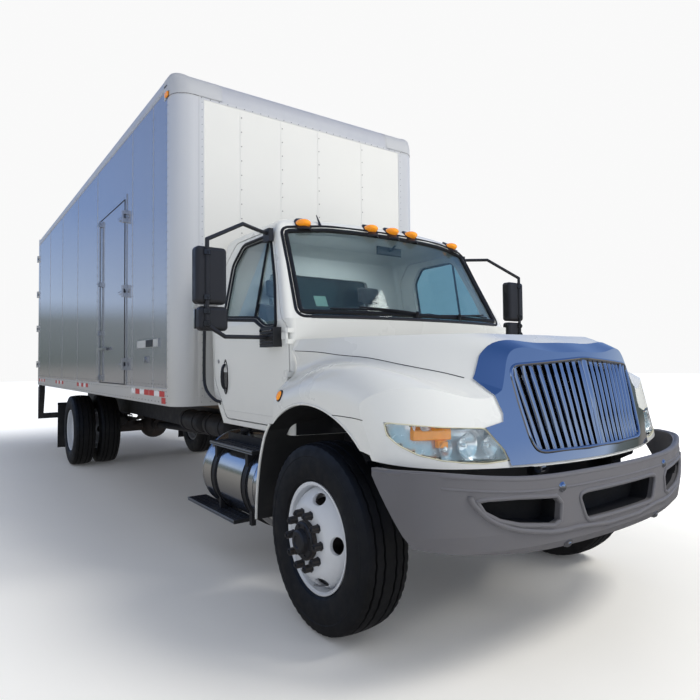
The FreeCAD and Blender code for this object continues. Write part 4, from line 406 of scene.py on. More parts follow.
def tyre_shape(y, half, rim_r, crown):
    """A ribbed tyre about the row's Y, its middle at y, with grooves round it and notched shoulders."""
    r = TYRE_R
    groove = 0.013
    side = [(0.105, rim_r), (0.1095, rim_r + 0.013), (0.122, rim_r + 0.026), (0.1285, rim_r + 0.030),
            (0.131, rim_r + 0.037), (half - 0.003, rim_r + 0.065), (half, rim_r + 0.098),
            (half - 0.001, rim_r + 0.13),
            (half - 0.0035, rim_r + 0.150), (half - 0.002, rim_r + 0.153), (half - 0.007, r - 0.046),
            (half - 0.012, r - 0.030), (half - 0.018, r - 0.015)]
    tread = []
    line = [(-0.112, 0), (-0.090, 0), (-0.0875, 1), (-0.0805, 1), (-0.078, 0), (-0.042, 0), (-0.0395, 1),
            (-0.0315, 1),
            (-0.029, 0), (0.029, 0), (0.0315, 1), (0.0395, 1), (0.042, 0), (0.078, 0), (0.0805, 1),
            (0.0875, 1), (0.090, 0), (0.112, 0)]
    for a, deep in line:
        tread.append((a, r - crown * (a / 0.112) ** 2 - groove * deep))
    section = [(-a, b) for a, b in side] + tread + [(a, b) for a, b in reversed(side)]
    count = len(section)
    loops = []
    for i in range(TREAD_STEPS):
        angle = 2 * math.pi * i / TREAD_STEPS
        notch = 0.0045 if i % 3 == 0 else 0.0
        wave = 0.0016 * (1 if (i // 2) % 2 else -1)
        loop = []
        for k, (a, b) in enumerate(section):
            if k in (12, 13, count - 13, count - 14):
                b -= notch
            inner = 14 <= k <= count - 15
            loop.append((a + (wave if inner else 0) + y, b * math.cos(angle), b * math.sin(angle)))
        loops.append(loop)
    return loops


def add_tyre(shape, x, y):
    """A tyre round the axle at x, its middle at y."""
    loops = [[(AXLE + x + c, b, TYRE_R + a) for b, c, a in loop] for loop in tyre_shape(y, TYRE_HALF, BEAD_R,
                                                                                        CROWN)]
    return shape.rings(loops + [loops[0]], closed=False)


def finish_tyre(shape, name, body, node):
    obj = shape.make(name, "tyre", body, weld=True, angle=28)
    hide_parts(node)
    return obj


FRONT_Y = abs(centre("tyre_front_left").y)
REAR_LOW, REAR_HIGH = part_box("tyres_rear_left")
REAR_INNER_Y, REAR_OUTER_Y = REAR_LOW[1] + TYRE_HALF, REAR_HIGH[1] - TYRE_HALF
for side, s in SIDES:
    finish_tyre(add_tyre(Shape(), 0, s * FRONT_Y), f"tread_front_{side}", f"wheel_front_{side}",
                f"tyre_front_{side}")
    pair = add_tyre(Shape(), REAR_AXLE, s * REAR_OUTER_Y)
    add_tyre(pair, REAR_AXLE, s * REAR_INNER_Y)
    finish_tyre(pair, f"treads_rear_{side}", f"wheels_rear_{side}", f"tyres_rear_{side}")

# Places on the CAD's own surfaces

TREES = {}


def tree_of(*names):
    """A search tree over some nodes' meshes."""
    if names not in TREES:
        points, faces = [], []
        for name in names:
            mesh = nodes[name].data
            base = len(points)
            points += [v.co.copy() for v in mesh.vertices]
            faces += [[base + i for i in p.vertices] for p in mesh.polygons]
        TREES[names] = BVHTree.FromPolygons(points, faces)
    return TREES[names]


def land(names, start, direction, lift=0.0):
    """Where a ray meets the nodes, lifted off the surface, and the surface's direction there."""
    names = (names,) if isinstance(names, str) else names
    spot, normal, _, _ = tree_of(*names).ray_cast(Vector(start), Vector(direction))
    if spot is None:
        return None, None
    if normal.dot(Vector(direction)) > 0:
        normal = -normal
    return spot + normal * lift, normal


def from_front(names, points, lift=0.0):
    """Places given as (y, z), laid on the nodes as seen from the front."""
    found = [land(names, at(2.0, y, z), (-1, 0, 0), lift)[0] for y, z in points]
    return [p for p in found if p is not None]


def from_side(names, points, s, lift=0.0):
    """Places given as (x, z) from the front axle, laid on the nodes as seen from side s."""
    found = [land(names, at(x, 2.0 * s, z), (0, -s, 0), lift)[0] for x, z in points]
    return [p for p in found if p is not None]


def ring_path(points, steps):
    """A closed polygon with its runs divided, in two coordinates."""
    out = []
    for i, (a, b) in enumerate(points):
        c, d = points[(i + 1) % len(points)]
        out += [(a + (c - a) * k / steps, b + (d - b) * k / steps) for k in range(steps)]
    return out


def rounded(points, radius, steps=5):
    """A polygon with its corners turned into arcs of about the radius."""
    out = []
    for i, p in enumerate(points):
        p = Vector(p)
        before, after = Vector(points[i - 1]), Vector(points[(i + 1) % len(points)])
        ends = []
        for q in (before, after):
            run = q - p
            ends.append(p + run.normalized() * min(radius, 0.45 * run.length))
        for k in range(steps + 1):
            t = k / steps
            out.append(tuple(ends[0] * (1 - t) ** 2 + p * (2 * t * (1 - t)) + ends[1] * t * t))
    return out


def grown(points, step):
    """A polygon moved outwards by a step."""
    area = sum(a[0] * b[1] - b[0] * a[1] for a, b in zip(points, points[1:] + points[:1]))
    turn = 1 if area > 0 else -1
    out = []
    for i, p in enumerate(points):
        before, after = Vector(points[i - 1]), Vector(points[(i + 1) % len(points)])
        along = (after - before).normalized()
        out.append((p[0] + along.y * step * turn, p[1] - along.x * step * turn))
    return out


def filled(outline, pitch):
    """Triangles over a polygon, with inner points on a grid."""
    points = [Vector(p) for p in outline]
    edges = [(i, (i + 1) % len(points)) for i in range(len(points))]
    low = [min(p[i] for p in outline) for i in (0, 1)]
    high = [max(p[i] for p in outline) for i in (0, 1)]
    for i in range(1, int((high[0] - low[0]) / pitch) + 1):
        for j in range(1, int((high[1] - low[1]) / pitch) + 1):
            points.append(Vector((low[0] + i * pitch, low[1] + j * pitch)))
    verts, _, faces, *_ = geometry.delaunay_2d_cdt(points, edges, [], 1, 1e-5)
    return [tuple(v) for v in verts], [list(f) for f in faces]


def closed_tube(shape, path, radius, steps=8):
    """A round bead along a closed path."""
    count = len(path)
    loops = []
    middle = sum((Vector(p) for p in path), Vector()) / count
    for i, p in enumerate(path):
        p = Vector(p)
        along = (Vector(path[(i + 1) % count]) - Vector(path[i - 1])).normalized()
        out = (p - middle)
        out = (out - along * out.dot(along)).normalized()
        up = along.cross(out)
        loops.append([p + (out * math.cos(a) + up * math.sin(a)) * radius
                      for a in turns(steps)])
    return shape.rings(loops + [loops[0]])


def ribbon(shape, path, normal, width, lift=0.003):
    """A flat strip along a path, standing a little off along the normal."""
    path = [Vector(p) for p in path]
    normal = Vector(normal).normalized()
    loops = []
    for i, p in enumerate(path):
        along = (path[min(i + 1, len(path) - 1)] - path[max(i - 1, 0)]).normalized()
        across = along.cross(normal).normalized() * width / 2
        loops.append([p - across, p - across + normal * lift, p + across + normal * lift, p + across])
    return shape.rings(loops, caps=True)


def rivet(shape, place, normal, radius=0.005):
    """A low domed head."""
    normal = Vector(normal).normalized()
    side = normal.orthogonal().normalized()
    up = normal.cross(side)
    loops = []
    for rise, r in ((-0.0005, radius), (0.35 * radius, 0.86 * radius), (0.6 * radius, 0.45 * radius)):
        loops.append([Vector(place) + normal * rise + (side * math.cos(a) + up * math.sin(a)) * r
                      for a in (math.pi * k / 3 for k in range(6))])
    count = len(shape.points)
    shape.rings(loops)
    shape.faces.append([count + 12 + k for k in range(6)])
    return shape


def plate(shape, low, high, edge=0.003):
    """A box whose edges are cut at 45 degrees."""
    low, high = Vector(low), Vector(high)
    size = high - low
    thin = min(range(3), key=lambda i: size[i])
    a, b = [i for i in range(3) if i != thin]
    e = min(edge, 0.4 * size[thin])
    loops = []
    for depth, inset in ((0, e), (e, 0), (size[thin] - e, 0), (size[thin], e)):
        loop = []
        for u, v in ((0, 0), (1, 0), (1, 1), (0, 1)):
            p = [0, 0, 0]
            p[thin] = low[thin] + depth
            p[a] = low[a] + inset if u == 0 else high[a] - inset
            p[b] = low[b] + inset if v == 0 else high[b] - inset
            loop.append(tuple(p))
        loops.append(loop)
    return shape.rings(loops, caps=True)


def local(low, high):
    """A box's corners given from the front axle, turned to the row frame and sorted."""
    a, b = at(*low), at(*high)
    return [min(p, q) for p, q in zip(a, b)], [max(p, q) for p, q in zip(a, b)]


def hex_nut(shape, place, axis, radius, height):
    """A nut with a washer face and cut corners."""
    return shape.disc_stack(place, axis, [(0, radius * 1.05), (height * 0.12, radius * 1.05),
                                          (height * 0.13, radius),
                                          (height * 0.88, radius), (height, radius * 0.82)], 6)


# Wheels: nuts, hub caps and valves

DISC_OUT = 0.168
for side, s in SIDES:
    for front in (True, False):
        x = 0 if front else REAR_AXLE
        face_y = s * (FRONT_Y + DISC_OUT) if front else s * 0.908
        seat = 0.0 if front else 0.012
        body = f"wheel_front_{side}" if front else f"wheels_rear_{side}"
        kind = "front" if front else "rear"
        nuts, caps = Shape(), Shape()
        for i in range(10):
            a = 2 * math.pi * i / 10
            spot = at(x + 0.1429 * math.cos(a), face_y + s * seat, TYRE_R + 0.1429 * math.sin(a))
            nuts.disc_stack(spot, (0, s, 0), [(0, 0.024), (0.007, 0.024), (0.008, 0.0205), (0.044, 0.0205),
                                              (0.048, 0.016),
                                              (0.0485, 0.0105), (0.055, 0.010)], 6)
        nose = 0.022 if front else 0.084
        hub_face = at(x, face_y + s * nose, TYRE_R)
        caps.disc_stack(hub_face, (0, s, 0), [(-0.02, 0.098), (0.004, 0.098), (0.010, 0.090), (0.011, 0.066),
                                              (0.034, 0.060),
                                              (0.040, 0.052), (0.041, 0.034), (0.036, 0.030), (0.036, 0.004)],
                                              36)
        for i in range(8):
            a = 2 * math.pi * (i + 0.5) / 8
            hex_nut(caps, hub_face + Vector((0.080 * math.cos(a), s * 0.009, 0.080 * math.sin(a))), (0, s, 0),
                    0.008, 0.007)
        valve_y = face_y - s * 0.052 if front else face_y + s * 0.10
        trim_valve = Shape().tube([at(x + 0.09, valve_y, TYRE_R - 0.228),
                                   at(x + 0.088, valve_y + s * 0.03, TYRE_R - 0.222),
                                   at(x + 0.083, valve_y + s * 0.062, TYRE_R - 0.212)], 0.0045, 8)
        nuts.make(f"wheel_nuts_{kind}_{side}", "black_plastic", body, angle=25)
        caps.make(f"hub_cap_{kind}_{side}", "black_plastic", body, angle=25)
        trim_valve.make(f"valve_{kind}_{side}", "bolt", body)

# Bumper: rolled upper rim, lips and dark inserts of the openings, bolts

RIM_TOP = [(0.597, 1.150, 0.967), (0.68, 1.150, 0.972), (0.754, 1.132, 0.975), (0.887, 1.045, 0.972),
           (0.969, 0.92, 0.957),
           (1.03, 0.775, 0.942), (1.063, 0.644, 0.933), (1.095, 0.496, 0.930), (1.112, 0.318, 0.930),
           (1.118, 0.113, 0.930)]
rim_front = []
for x, y, z in RIM_TOP:
    spot, _ = land("front_bumper", at(1.6, y, z - 0.012), (-1, 0, 0), -0.012)
    if x < 0.76:
        spot, _ = land("front_bumper", at(x, 1.6, z - 0.012), (0, -1, 0), -0.012)
    rim_front.append(Vector((spot.x, spot.y, z - 0.009)))
path = smooth_path(rim_front + mirrored(reversed(rim_front)), 6)
Shape().tube(path, 0.0145, 12).make("bumper_rim", "bumper", "chassis")
POCKET = [(0.936, 0.872), (0.936, 0.863), (0.92, 0.834), (0.864, 0.774), (0.784, 0.731), (0.707, 0.707),
          (0.563, 0.679),
          (0.454, 0.671), (0.346, 0.672), (0.125, 0.655)]
lips = Shape()
crease = from_front("front_bumper", [(p.x, p.y) for p in smooth_path([(y, z, 0) for y, z in POCKET], 5)],
                    -0.004)
lips.tube(smooth_path(crease + mirrored(reversed(crease)), 2), 0.014, 12)
upper_crease = [(y, z - 0.062) for x, y, z in RIM_TOP[3:]]
crease = from_front("front_bumper", [(p.x, p.y) for p in smooth_path([(y, z, 0) for y, z in upper_crease],
                                                                     4)], -0.0045)
lips.tube(smooth_path(crease + mirrored(reversed(crease)), 2), 0.008, 10)
FOG = [(0.489, 0.724), (0.524, 0.711), (0.706, 0.735), (0.807, 0.763), (0.875, 0.802), (0.905, 0.849),
       (0.863, 0.849),
       (0.718, 0.845), (0.506, 0.829), (0.481, 0.800)]
MIDDLE = [(0.300, 0.702), (0.350, 0.818), (0.302, 0.828), (-0.302, 0.828), (-0.350, 0.818), (-0.300, 0.702)]
inserts = Shape()
for outline in (FOG, [(-y, z) for y, z in FOG], rounded(MIDDLE, 0.026)):
    ring = from_front("front_bumper", ring_path(grown(outline, 0.007), 6), -0.003)
    closed_tube(lips, ring, 0.011, 10)
    mouth = from_front("front_bumper", ring_path(grown(outline, 0.004), 6), -0.022)
    inserts.rings([mouth, [Vector((p.x - 0.10, p.y * 0.97, p.z)) for p in mouth]])
    back = [Vector((p.x - 0.10, p.y * 0.97, p.z)) for p in mouth]
    inserts.add(back, [list(range(len(back)))])
lips.make("bumper_lips", "bumper", "chassis")
inserts.make("bumper_inserts", "liner", "chassis", smooth=False)
bolts = Shape()
for y, z in ((0.469, 0.872), (-0.469, 0.872), (0.403, 0.598), (-0.403, 0.598)):
    spot, normal = land("front_bumper", at(1.6, y, z), (-1, 0, 0), -0.002)
    bolts.disc_stack(spot, normal, [(0, 0.024), (0.004, 0.024), (0.006, 0.020), (0.013, 0.016),
                                    (0.017, 0.006), (0.0175, 0.001)], 20)
bolts.make("bumper_bolts", "chrome", "chassis")

# Grille: round bars over the straight ones, a bead round the opening

def nose_at(y, z, lift=0.0):
    spot, _ = land("grille", at(2.0, y, z), (-1, 0, 0), lift)
    return spot


bars = Shape()
for i in range(20):
    share = 2 * (i + 0.5) / 20 - 1
    low_y, high_y = share * 0.460, share * 0.530
    path, wide = [], []
    for k in range(9):
        t = k / 8
        z = 1.02 + 0.41 * t
        y = low_y + (high_y - low_y) * (z - 1.0) / 0.462
        spot = nose_at(y, z, -0.006 - 0.009 * max(0.0, (1.20 - z) / 0.18))
        if spot is not None:
            path.append(spot)
            wide.append(1.0 if 0 < k < 8 else 0.7)
    bars.tube(path, 0.0145, 12, wide)
path = [nose_at(0, 1.01 + 0.44 * k / 6, -0.017 if k < 3 else -0.008) for k in range(7)]
bars.tube([p for p in path if p is not None], 0.019, 14)
bars.make("grille_bars", "chrome", "bonnet")
half = [(0.455, 1.022), (0.482, 1.070), (0.508, 1.268), (0.519, 1.422)]
OPENING = rounded(half + [(0, 1.456)] + [(-y, z) for y, z in reversed(half)], 0.045)
bead = Shape()
ring = from_front("grille", ring_path(grown(OPENING, 0.009), 3), -0.001)
closed_tube(bead, ring, 0.0095, 10)
bead.make("grille_bead", "chrome", "bonnet")
# Painted shade: a near-black sheet behind the bars, set further back towards the top and sides, darkens the
# grille's recess.
backing = Shape()
verts, faces = filled(OPENING, 0.06)
backing.add([at(0.955 - 0.27 * (z - 0.93) / 0.67 - 0.30 * abs(y) ** 2.2, y, z) for y, z in verts], faces)
backing.make("grille_shade_sheet", "dark", "bonnet", smooth=False)

# Headlamps: thin lens, bezel, bowls, amber blocks

LAMP = [(0.623, 0.985), (0.741, 0.978), (0.845, 0.988), (0.945, 1.004), (1.031, 1.030), (1.090, 1.072),
        (1.120, 1.116),
        (1.122, 1.177), (1.032, 1.166), (0.918, 1.153), (0.716, 1.140), (0.641, 1.038)]
for side, s in SIDES:
    outline = [(s * y, z) for y, z in rounded(LAMP, 0.018, 3)]
    inner = grown(outline, -0.0015)
    verts, faces = filled(inner, 0.03)
    keep = {}
    for i, (y, z) in enumerate(verts):
        spot, _ = land("headlamps", at(2.0, y, z), (-1, 0, 0))
        keep[i] = spot
    known = [(verts[i], p) for i, p in keep.items() if p is not None]
    for i, p in keep.items():
        if p is None:
            y, z = verts[i]
            keep[i] = min(known, key=lambda item: (item[0][0] - y) ** 2 + (item[0][1] - z) ** 2)[1].copy()
            keep[i].y, keep[i].z = y, z
    lens = Shape().add([keep[i] for i in range(len(verts))], faces)
    piece = lens.make(f"lamp_lens_{side}", "lens_clear", "bonnet", solidify=0.003, weld=True, angle=50)
    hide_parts("headlamps")
    house = Shape()
    house.add([keep[i] - Vector((0.075, 0, 0)) for i in range(len(verts))], faces)
    ring = []
    for y, z in inner:
        spot, _ = land("headlamps", at(2.0, y * 0.999, z), (-1, 0, 0))
        near = min(known, key=lambda item: (item[0][0] - y) ** 2 + (item[0][1] - z) ** 2)[1]
        ring.append(Vector(((spot or near).x, y, z)))
    house.rings([[p - Vector((0.004, 0, 0)) for p in ring], [p - Vector((0.075, 0, 0)) for p in ring]])
    house.make(f"lamp_bezel_{side}", "lamp_bezel", "bonnet", smooth=False)
    seal = Shape()
    closed_tube(seal, ring, 0.0035, 8)
    seal.make(f"lamp_edge_{side}", "lamp_seal", "bonnet")
    bowls, amber = Shape(), Shape()
    for y, z, r, depth in ((0.690, 1.055, 0.047, 0.05), (0.800, 1.062, 0.058, 0.06),
                           (0.905, 1.052, 0.036, 0.04)):
        spot, _ = land("headlamps", at(2.0, s * y, z), (-1, 0, 0))
        mouth = spot - Vector((0.016, 0, 0))
        axis = Vector((-1, 0, 0))
        stack = [(-0.002, r * 1.06), (0, r)]
        stack += [(depth * t, r * math.sqrt(max(1 - t, 0.0))) for t in (0.2, 0.4, 0.6, 0.8, 0.93)] + [(depth,
                                                                                                       0.004)]
        bowls.disc_stack(mouth + Vector((-0.004, 0, 0)), axis, stack, 28)
        bowls.faces = [f for f in bowls.faces if len(f) < 20]
        bowls.disc_stack(mouth - Vector((depth * 0.75, 0, 0)), (1, 0, 0),
                         [(0, 0.012), (0.022, 0.012), (0.030, 0.006)], 12)
    for low, high in (((0.868, 1.092), (1.024, 1.134)), ((0.890, 1.056), (0.932, 1.091))):
        loops = []
        for k in range(7):
            y = low[0] + (high[0] - low[0]) * k / 6
            x = min(land("headlamps", at(2.0, s * y, z), (-1, 0, 0))[0].x for z in (low[1], high[1]))
            loops.append([Vector((x - depth, s * y, z)) for depth, z in
                          ((0.044, low[1]), (0.016, low[1]), (0.016, high[1]), (0.044, high[1]))])
        amber.rings(loops, caps=True)
    bowls.make(f"lamp_bowls_{side}", "reflector", "bonnet")
    amber.make(f"lamp_turn_{side}", "amber", "bonnet", bevel=0.004)

# Bonnet: arch lips and liners, parting lines, side markers

for side, s in SIDES:
    lip, dark, lines = Shape(), Shape(), Shape()
    arch = []
    for k in range(49):
        a = math.radians(18 + 144 * k / 48)
        x, z = -0.025 + 0.722 * math.cos(a), TYRE_R + 0.722 * math.sin(a)
        spot = from_side("bonnet", [(x, z)], s, -0.003)
        if spot:
            arch.append(spot[0])
    lip.tube(arch, 0.008, 10)
    loops = []
    for k in range(61):
        a = math.radians(14 + 152 * k / 60)
        x, z = -0.025 + 0.7135 * math.cos(a), TYRE_R + 0.7135 * math.sin(a)
        if z > 0.97:
            loops.append([at(x, s * 0.758, z), at(x, s * 1.02, z), at(x, s * 1.152, z)])
    dark.rings(loops, closed=False)
    inner_face = []
    for k in range(41):
        a = math.radians(44 + 92 * k / 40)
        x, z = -0.025 + 0.712 * math.cos(a), TYRE_R + 0.712 * math.sin(a)
        inner_face.append([at(x, s * 0.762, z), at(x, s * 0.762, min(z, 1.045))])
    dark.rings(inner_face, closed=False)
    dark.make(f"arch_liner_{side}", "liner", "bonnet")
    tail = [(-0.452, 1.090), (-0.488, 1.054), (-0.527, 1.000), (-0.558, 0.934), (-0.585, 0.860),
            (-0.606, 0.780),
            (-0.622, 0.700), (-0.634, 0.615), (-0.642, 0.530), (-0.6435, 0.484)]
    Shape().tube(smooth_path([at(x - 0.006, s * 1.163, z) for x, z in tail], 4), 0.0085, 10).make(
        f"arch_tail_lip_{side}", "cab_paint", "chassis")
    lip.make(f"arch_lip_{side}", "cab_paint", "bonnet")
    for run in (((-0.413, 1.53), (-0.2, 1.518), (-0.009, 1.497), (0.2, 1.478), (0.401, 1.442), (0.595, 1.402),
                 (0.70, 1.372)),
                ((0.10, 1.186), (0.25, 1.188), (0.42, 1.186), (0.50, 1.18))):
        path = from_side("bonnet", [(p.x, p.y) for p in smooth_path([(x, z, 0) for x, z in run], 5)], s,
                         0.0002)
        lines.tube(path, 0.0022, 6)
    lines.make(f"bonnet_lines_{side}", "seal", "bonnet")
    marker, base = Shape(), Shape()
    spot, normal = land("bonnet", at(-0.36, 2.0 * s, 1.262), (0, -s, 0))
    if spot is not None:
        marker.disc_stack(spot, normal, [(-0.002, 0.030), (0.008, 0.029), (0.014, 0.022), (0.017, 0.010),
                                         (0.0175, 0.001)], 24)
        base.disc_stack(spot, normal, [(-0.003, 0.036), (0.004, 0.036), (0.006, 0.033)], 24)
        marker.make(f"side_marker_{side}", "amber", "bonnet")
        base.make(f"side_marker_base_{side}", "black_plastic", "bonnet")

for side, s in SIDES:
    cover, rows = Shape(), []
    for z in (1.007, 1.03, 1.06, 1.09, 1.12, 1.15):
        rows.append([land("cab_shell", at(0.3, s * y, z), (-1, 0, 0), 0.003)[0]
                     for y in (0.60, 0.68, 0.76, 0.84, 0.92, 0.96, 0.985)])
    cover.rings(rows, closed=False)
    cover.make(f"firewall_cover_{side}", "liner", "chassis")

# Disc wheels: a domed disc with five large oval hand holes, and the drop-centre barrel

def wheel_mesh(x, y, outward, shape):
    """A wheel whose middle is at y and whose disc bulges towards outward. Radii and depths in metres."""
    barrel = [(-0.119, 0.298), (-0.110, 0.298), (-0.106, 0.286), (-0.057, 0.280), (-0.035, 0.252),
              (0.035, 0.252),
              (0.057, 0.280), (0.106, 0.286), (0.110, 0.298), (0.119, 0.298), (0.1195, 0.290), (0.112, 0.279),
              (0.061, 0.271), (0.039, 0.243), (-0.039, 0.243), (-0.061, 0.271), (-0.112, 0.279),
              (-0.1195, 0.290)]
    disc = [(0.168, 0.1035), (0.168, 0.165), (0.165, 0.178), (0.156, 0.196), (0.142, 0.215), (0.124, 0.234),
            (0.102, 0.251),
            (0.078, 0.264), (0.052, 0.271), (0.046, 0.262), (0.070, 0.254), (0.092, 0.242), (0.112, 0.226),
            (0.130, 0.207),
            (0.143, 0.190), (0.152, 0.174), (0.156, 0.162), (0.156, 0.1035)]
    for profile in (barrel, disc):
        loops = []
        for k in range(72):
            a = 2 * math.pi * k / 72
            loops.append([at(x + r * math.cos(a), y + outward * d, TYRE_R + r * math.sin(a)) for d,
                          r in profile])
        shape.rings(loops + [loops[0]])
    return shape


def hand_holes(x, y, outward):
    """Cutters for the oval hand holes, wider round the wheel than across."""
    shape = Shape()
    for i in range(5):
        a = 2 * math.pi * i / 5 + 0.05
        out, along = Vector((math.cos(a), 0, math.sin(a))), Vector((-math.sin(a), 0, math.cos(a)))
        middle = at(x, y + outward * 0.11, TYRE_R) + out * 0.226
        loops = []
        for depth in (-0.06, 0.06):
            loops.append([middle + Vector((0, outward * depth,
                                           0)) + out * 0.026 * math.cos(b) + along * 0.047 * math.sin(b)
                          for b in turns(24)])
        shape.rings(loops, caps=True)
    return shape


def plain_mesh(shape, name):
    mesh = bpy.data.meshes.new(name)
    mesh.from_pydata(shape.points, [], shape.faces)
    work = bmesh.new()
    work.from_mesh(mesh)
    bmesh.ops.remove_doubles(work, verts=work.verts, dist=0.00005)
    bmesh.ops.recalc_face_normals(work, faces=work.faces)
    work.to_mesh(mesh)
    work.free()
    obj = bpy.data.objects.new(name, mesh)
    bpy.context.collection.objects.link(obj)
    return obj


def cut_piece(shape, cutters, name, look, body, bevel=0.002, angle=32):
    """The shape with the cutters taken out of it, as one piece."""
    base, tool = plain_mesh(shape, name), plain_mesh(cutters, name + "_cut")
    base.data.materials.append(M[look])
    mod = base.modifiers.new("cut", "BOOLEAN")
    mod.object = tool
    mod.solver = "EXACT"
    mod.use_self = False
    if bevel:
        mod = base.modifiers.new("bevel", "BEVEL")
        mod.width = bevel
        mod.segments = 2
        mod.limit_method = "ANGLE"
        mod.angle_limit = math.radians(50)
    graph = bpy.context.evaluated_depsgraph_get()
    graph.update()
    made = bpy.data.meshes.new_from_object(base.evaluated_get(graph))
    base.modifiers.clear()
    base.data = made
    bpy.data.objects.remove(tool, do_unlink=True)
    made.polygons.foreach_set("use_smooth", [True] * len(made.polygons))
    made.set_sharp_from_angle(angle=math.radians(angle))
    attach(base, body)
    return base


for side, s in SIDES:
    disc = cut_piece(wheel_mesh(0, s * FRONT_Y, s, Shape()), hand_holes(0, s * FRONT_Y, s),
                     f"disc_front_{side}",
                     "wheel_paint", f"wheel_front_{side}")
    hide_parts(f"rim_front_{side}")
    pair, cutters = Shape(), Shape()
    for y, outward in ((s * REAR_OUTER_Y, -s), (s * REAR_INNER_Y, s)):
        wheel_mesh(REAR_AXLE, y, outward, pair)
        more = hand_holes(REAR_AXLE, y, outward)
        cutters.add(more.points, more.faces)
    disc = cut_piece(pair, cutters, f"discs_rear_{side}", "wheel_paint", f"wheels_rear_{side}")
    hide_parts(f"rims_rear_{side}")

# Cab: seals, trim, wipers, lamps' feet, aerial, handles

SCREEN = [(0.940, 1.765), (0.903, 2.075), (0.872, 2.388), (0.550, 2.421)]
SCREEN = rounded(SCREEN + [(-y, z) for y, z in reversed(SCREEN)], 0.048)
ring = from_front("cab_shell", ring_path(grown(SCREEN, 0.012), 4), -0.002)
seal = Shape()
closed_tube(seal, ring, 0.011, 10)
inner_ring = from_front(("cab_glass",), ring_path(grown(SCREEN, -0.020), 4), 0.002)
closed_tube(seal, inner_ring, 0.016, 8)
seal.make("screen_seal", "seal", "chassis")
sill = Shape()
low = from_front(("cab_shell", "cab_glass"), [(-0.86 + 1.72 * k / 40, 1.752) for k in range(41)], 0.002)
sill.tube(low, 0.012, 8)
sill.make("cowl_edge", "black_plastic", "chassis")

sticker = Shape()
corner = from_front("cab_glass", [(-0.80, 1.83), (-0.72, 1.828), (-0.72, 1.90), (-0.80, 1.90)], -0.0085)
if len(corner) == 4:
    sticker.add(corner, [(0, 1, 2, 3)])
    sticker.make("screen_label", "sticker", "chassis", smooth=False)

for side, s in (("right", -1), ("left", 1)):
    wiper = Shape()
    run = [(s * 0.22 + 0.16, 1.785), (s * 0.40 + 0.16, 1.800), (s * 0.62 + 0.10, 1.812)]
    arm = from_front(("cab_glass", "cab_shell"), run, 0.030)
    blade_run = [(s * 0.12 + 0.08, 1.792), (s * 0.30 + 0.08, 1.800), (s * 0.52 + 0.06, 1.808),
                 (s * 0.76 + 0.04, 1.806)]
    blade = from_front("cab_glass", blade_run, 0.010)
    if len(arm) > 1:
        wiper.tube(smooth_path(arm, 5), 0.006, 8)
        wiper.disc_stack(arm[0], (0.3, 0, 1), [(-0.03, 0.013), (0.010, 0.013), (0.014, 0.008)], 14)
    if len(blade) > 1:
        wiper.tube(smooth_path(blade, 6), 0.0065, 6)
    wiper.make(f"wiper_{side}", "black_plastic", "chassis")

aerial = Shape()
foot = land("cab_shell", at(-0.78, -0.60, 3.0), (0, 0, -1))[0]
aerial.tube([foot - Vector((0, 0, 0.004)), foot + Vector((-0.01, 0, 0.02)), foot + Vector((-0.05, 0, 0.085))],
            0.005, 10,
            (2.4, 1.6, 0.6))
aerial.make("aerial", "black_plastic", "chassis")
feet = Shape()
ROOF_EDGE = 2.392
for y in (-0.722, -0.195, 0.0, 0.195, 0.722):
    x = -0.450 - 0.040 - 0.345 + 0.150 * (1 - (y / 0.905) ** 2) - 0.032
    loop_low, loop_high = [], []
    for k in range(24):
        a = 2 * math.pi * k / 24
        spot = land(("cab_shell", "cab_glass"), at(x + 0.074 * math.cos(a), y + 0.056 * math.sin(a), 3.0),
                    (0, 0, -1))[0]
        spot.z = max(spot.z, ROOF_EDGE)
        loop_low.append(spot - Vector((0, 0, 0.003)))
        loop_high.append(spot + Vector((0, 0, 0.008)))
    feet.rings([loop_low, loop_high, [p.lerp(at(x, y, p.z),
                                             0.12) + Vector((0, 0, 0.004)) for p in loop_high]], caps=True)
feet.make("roof_lamp_feet", "black_plastic", "chassis")

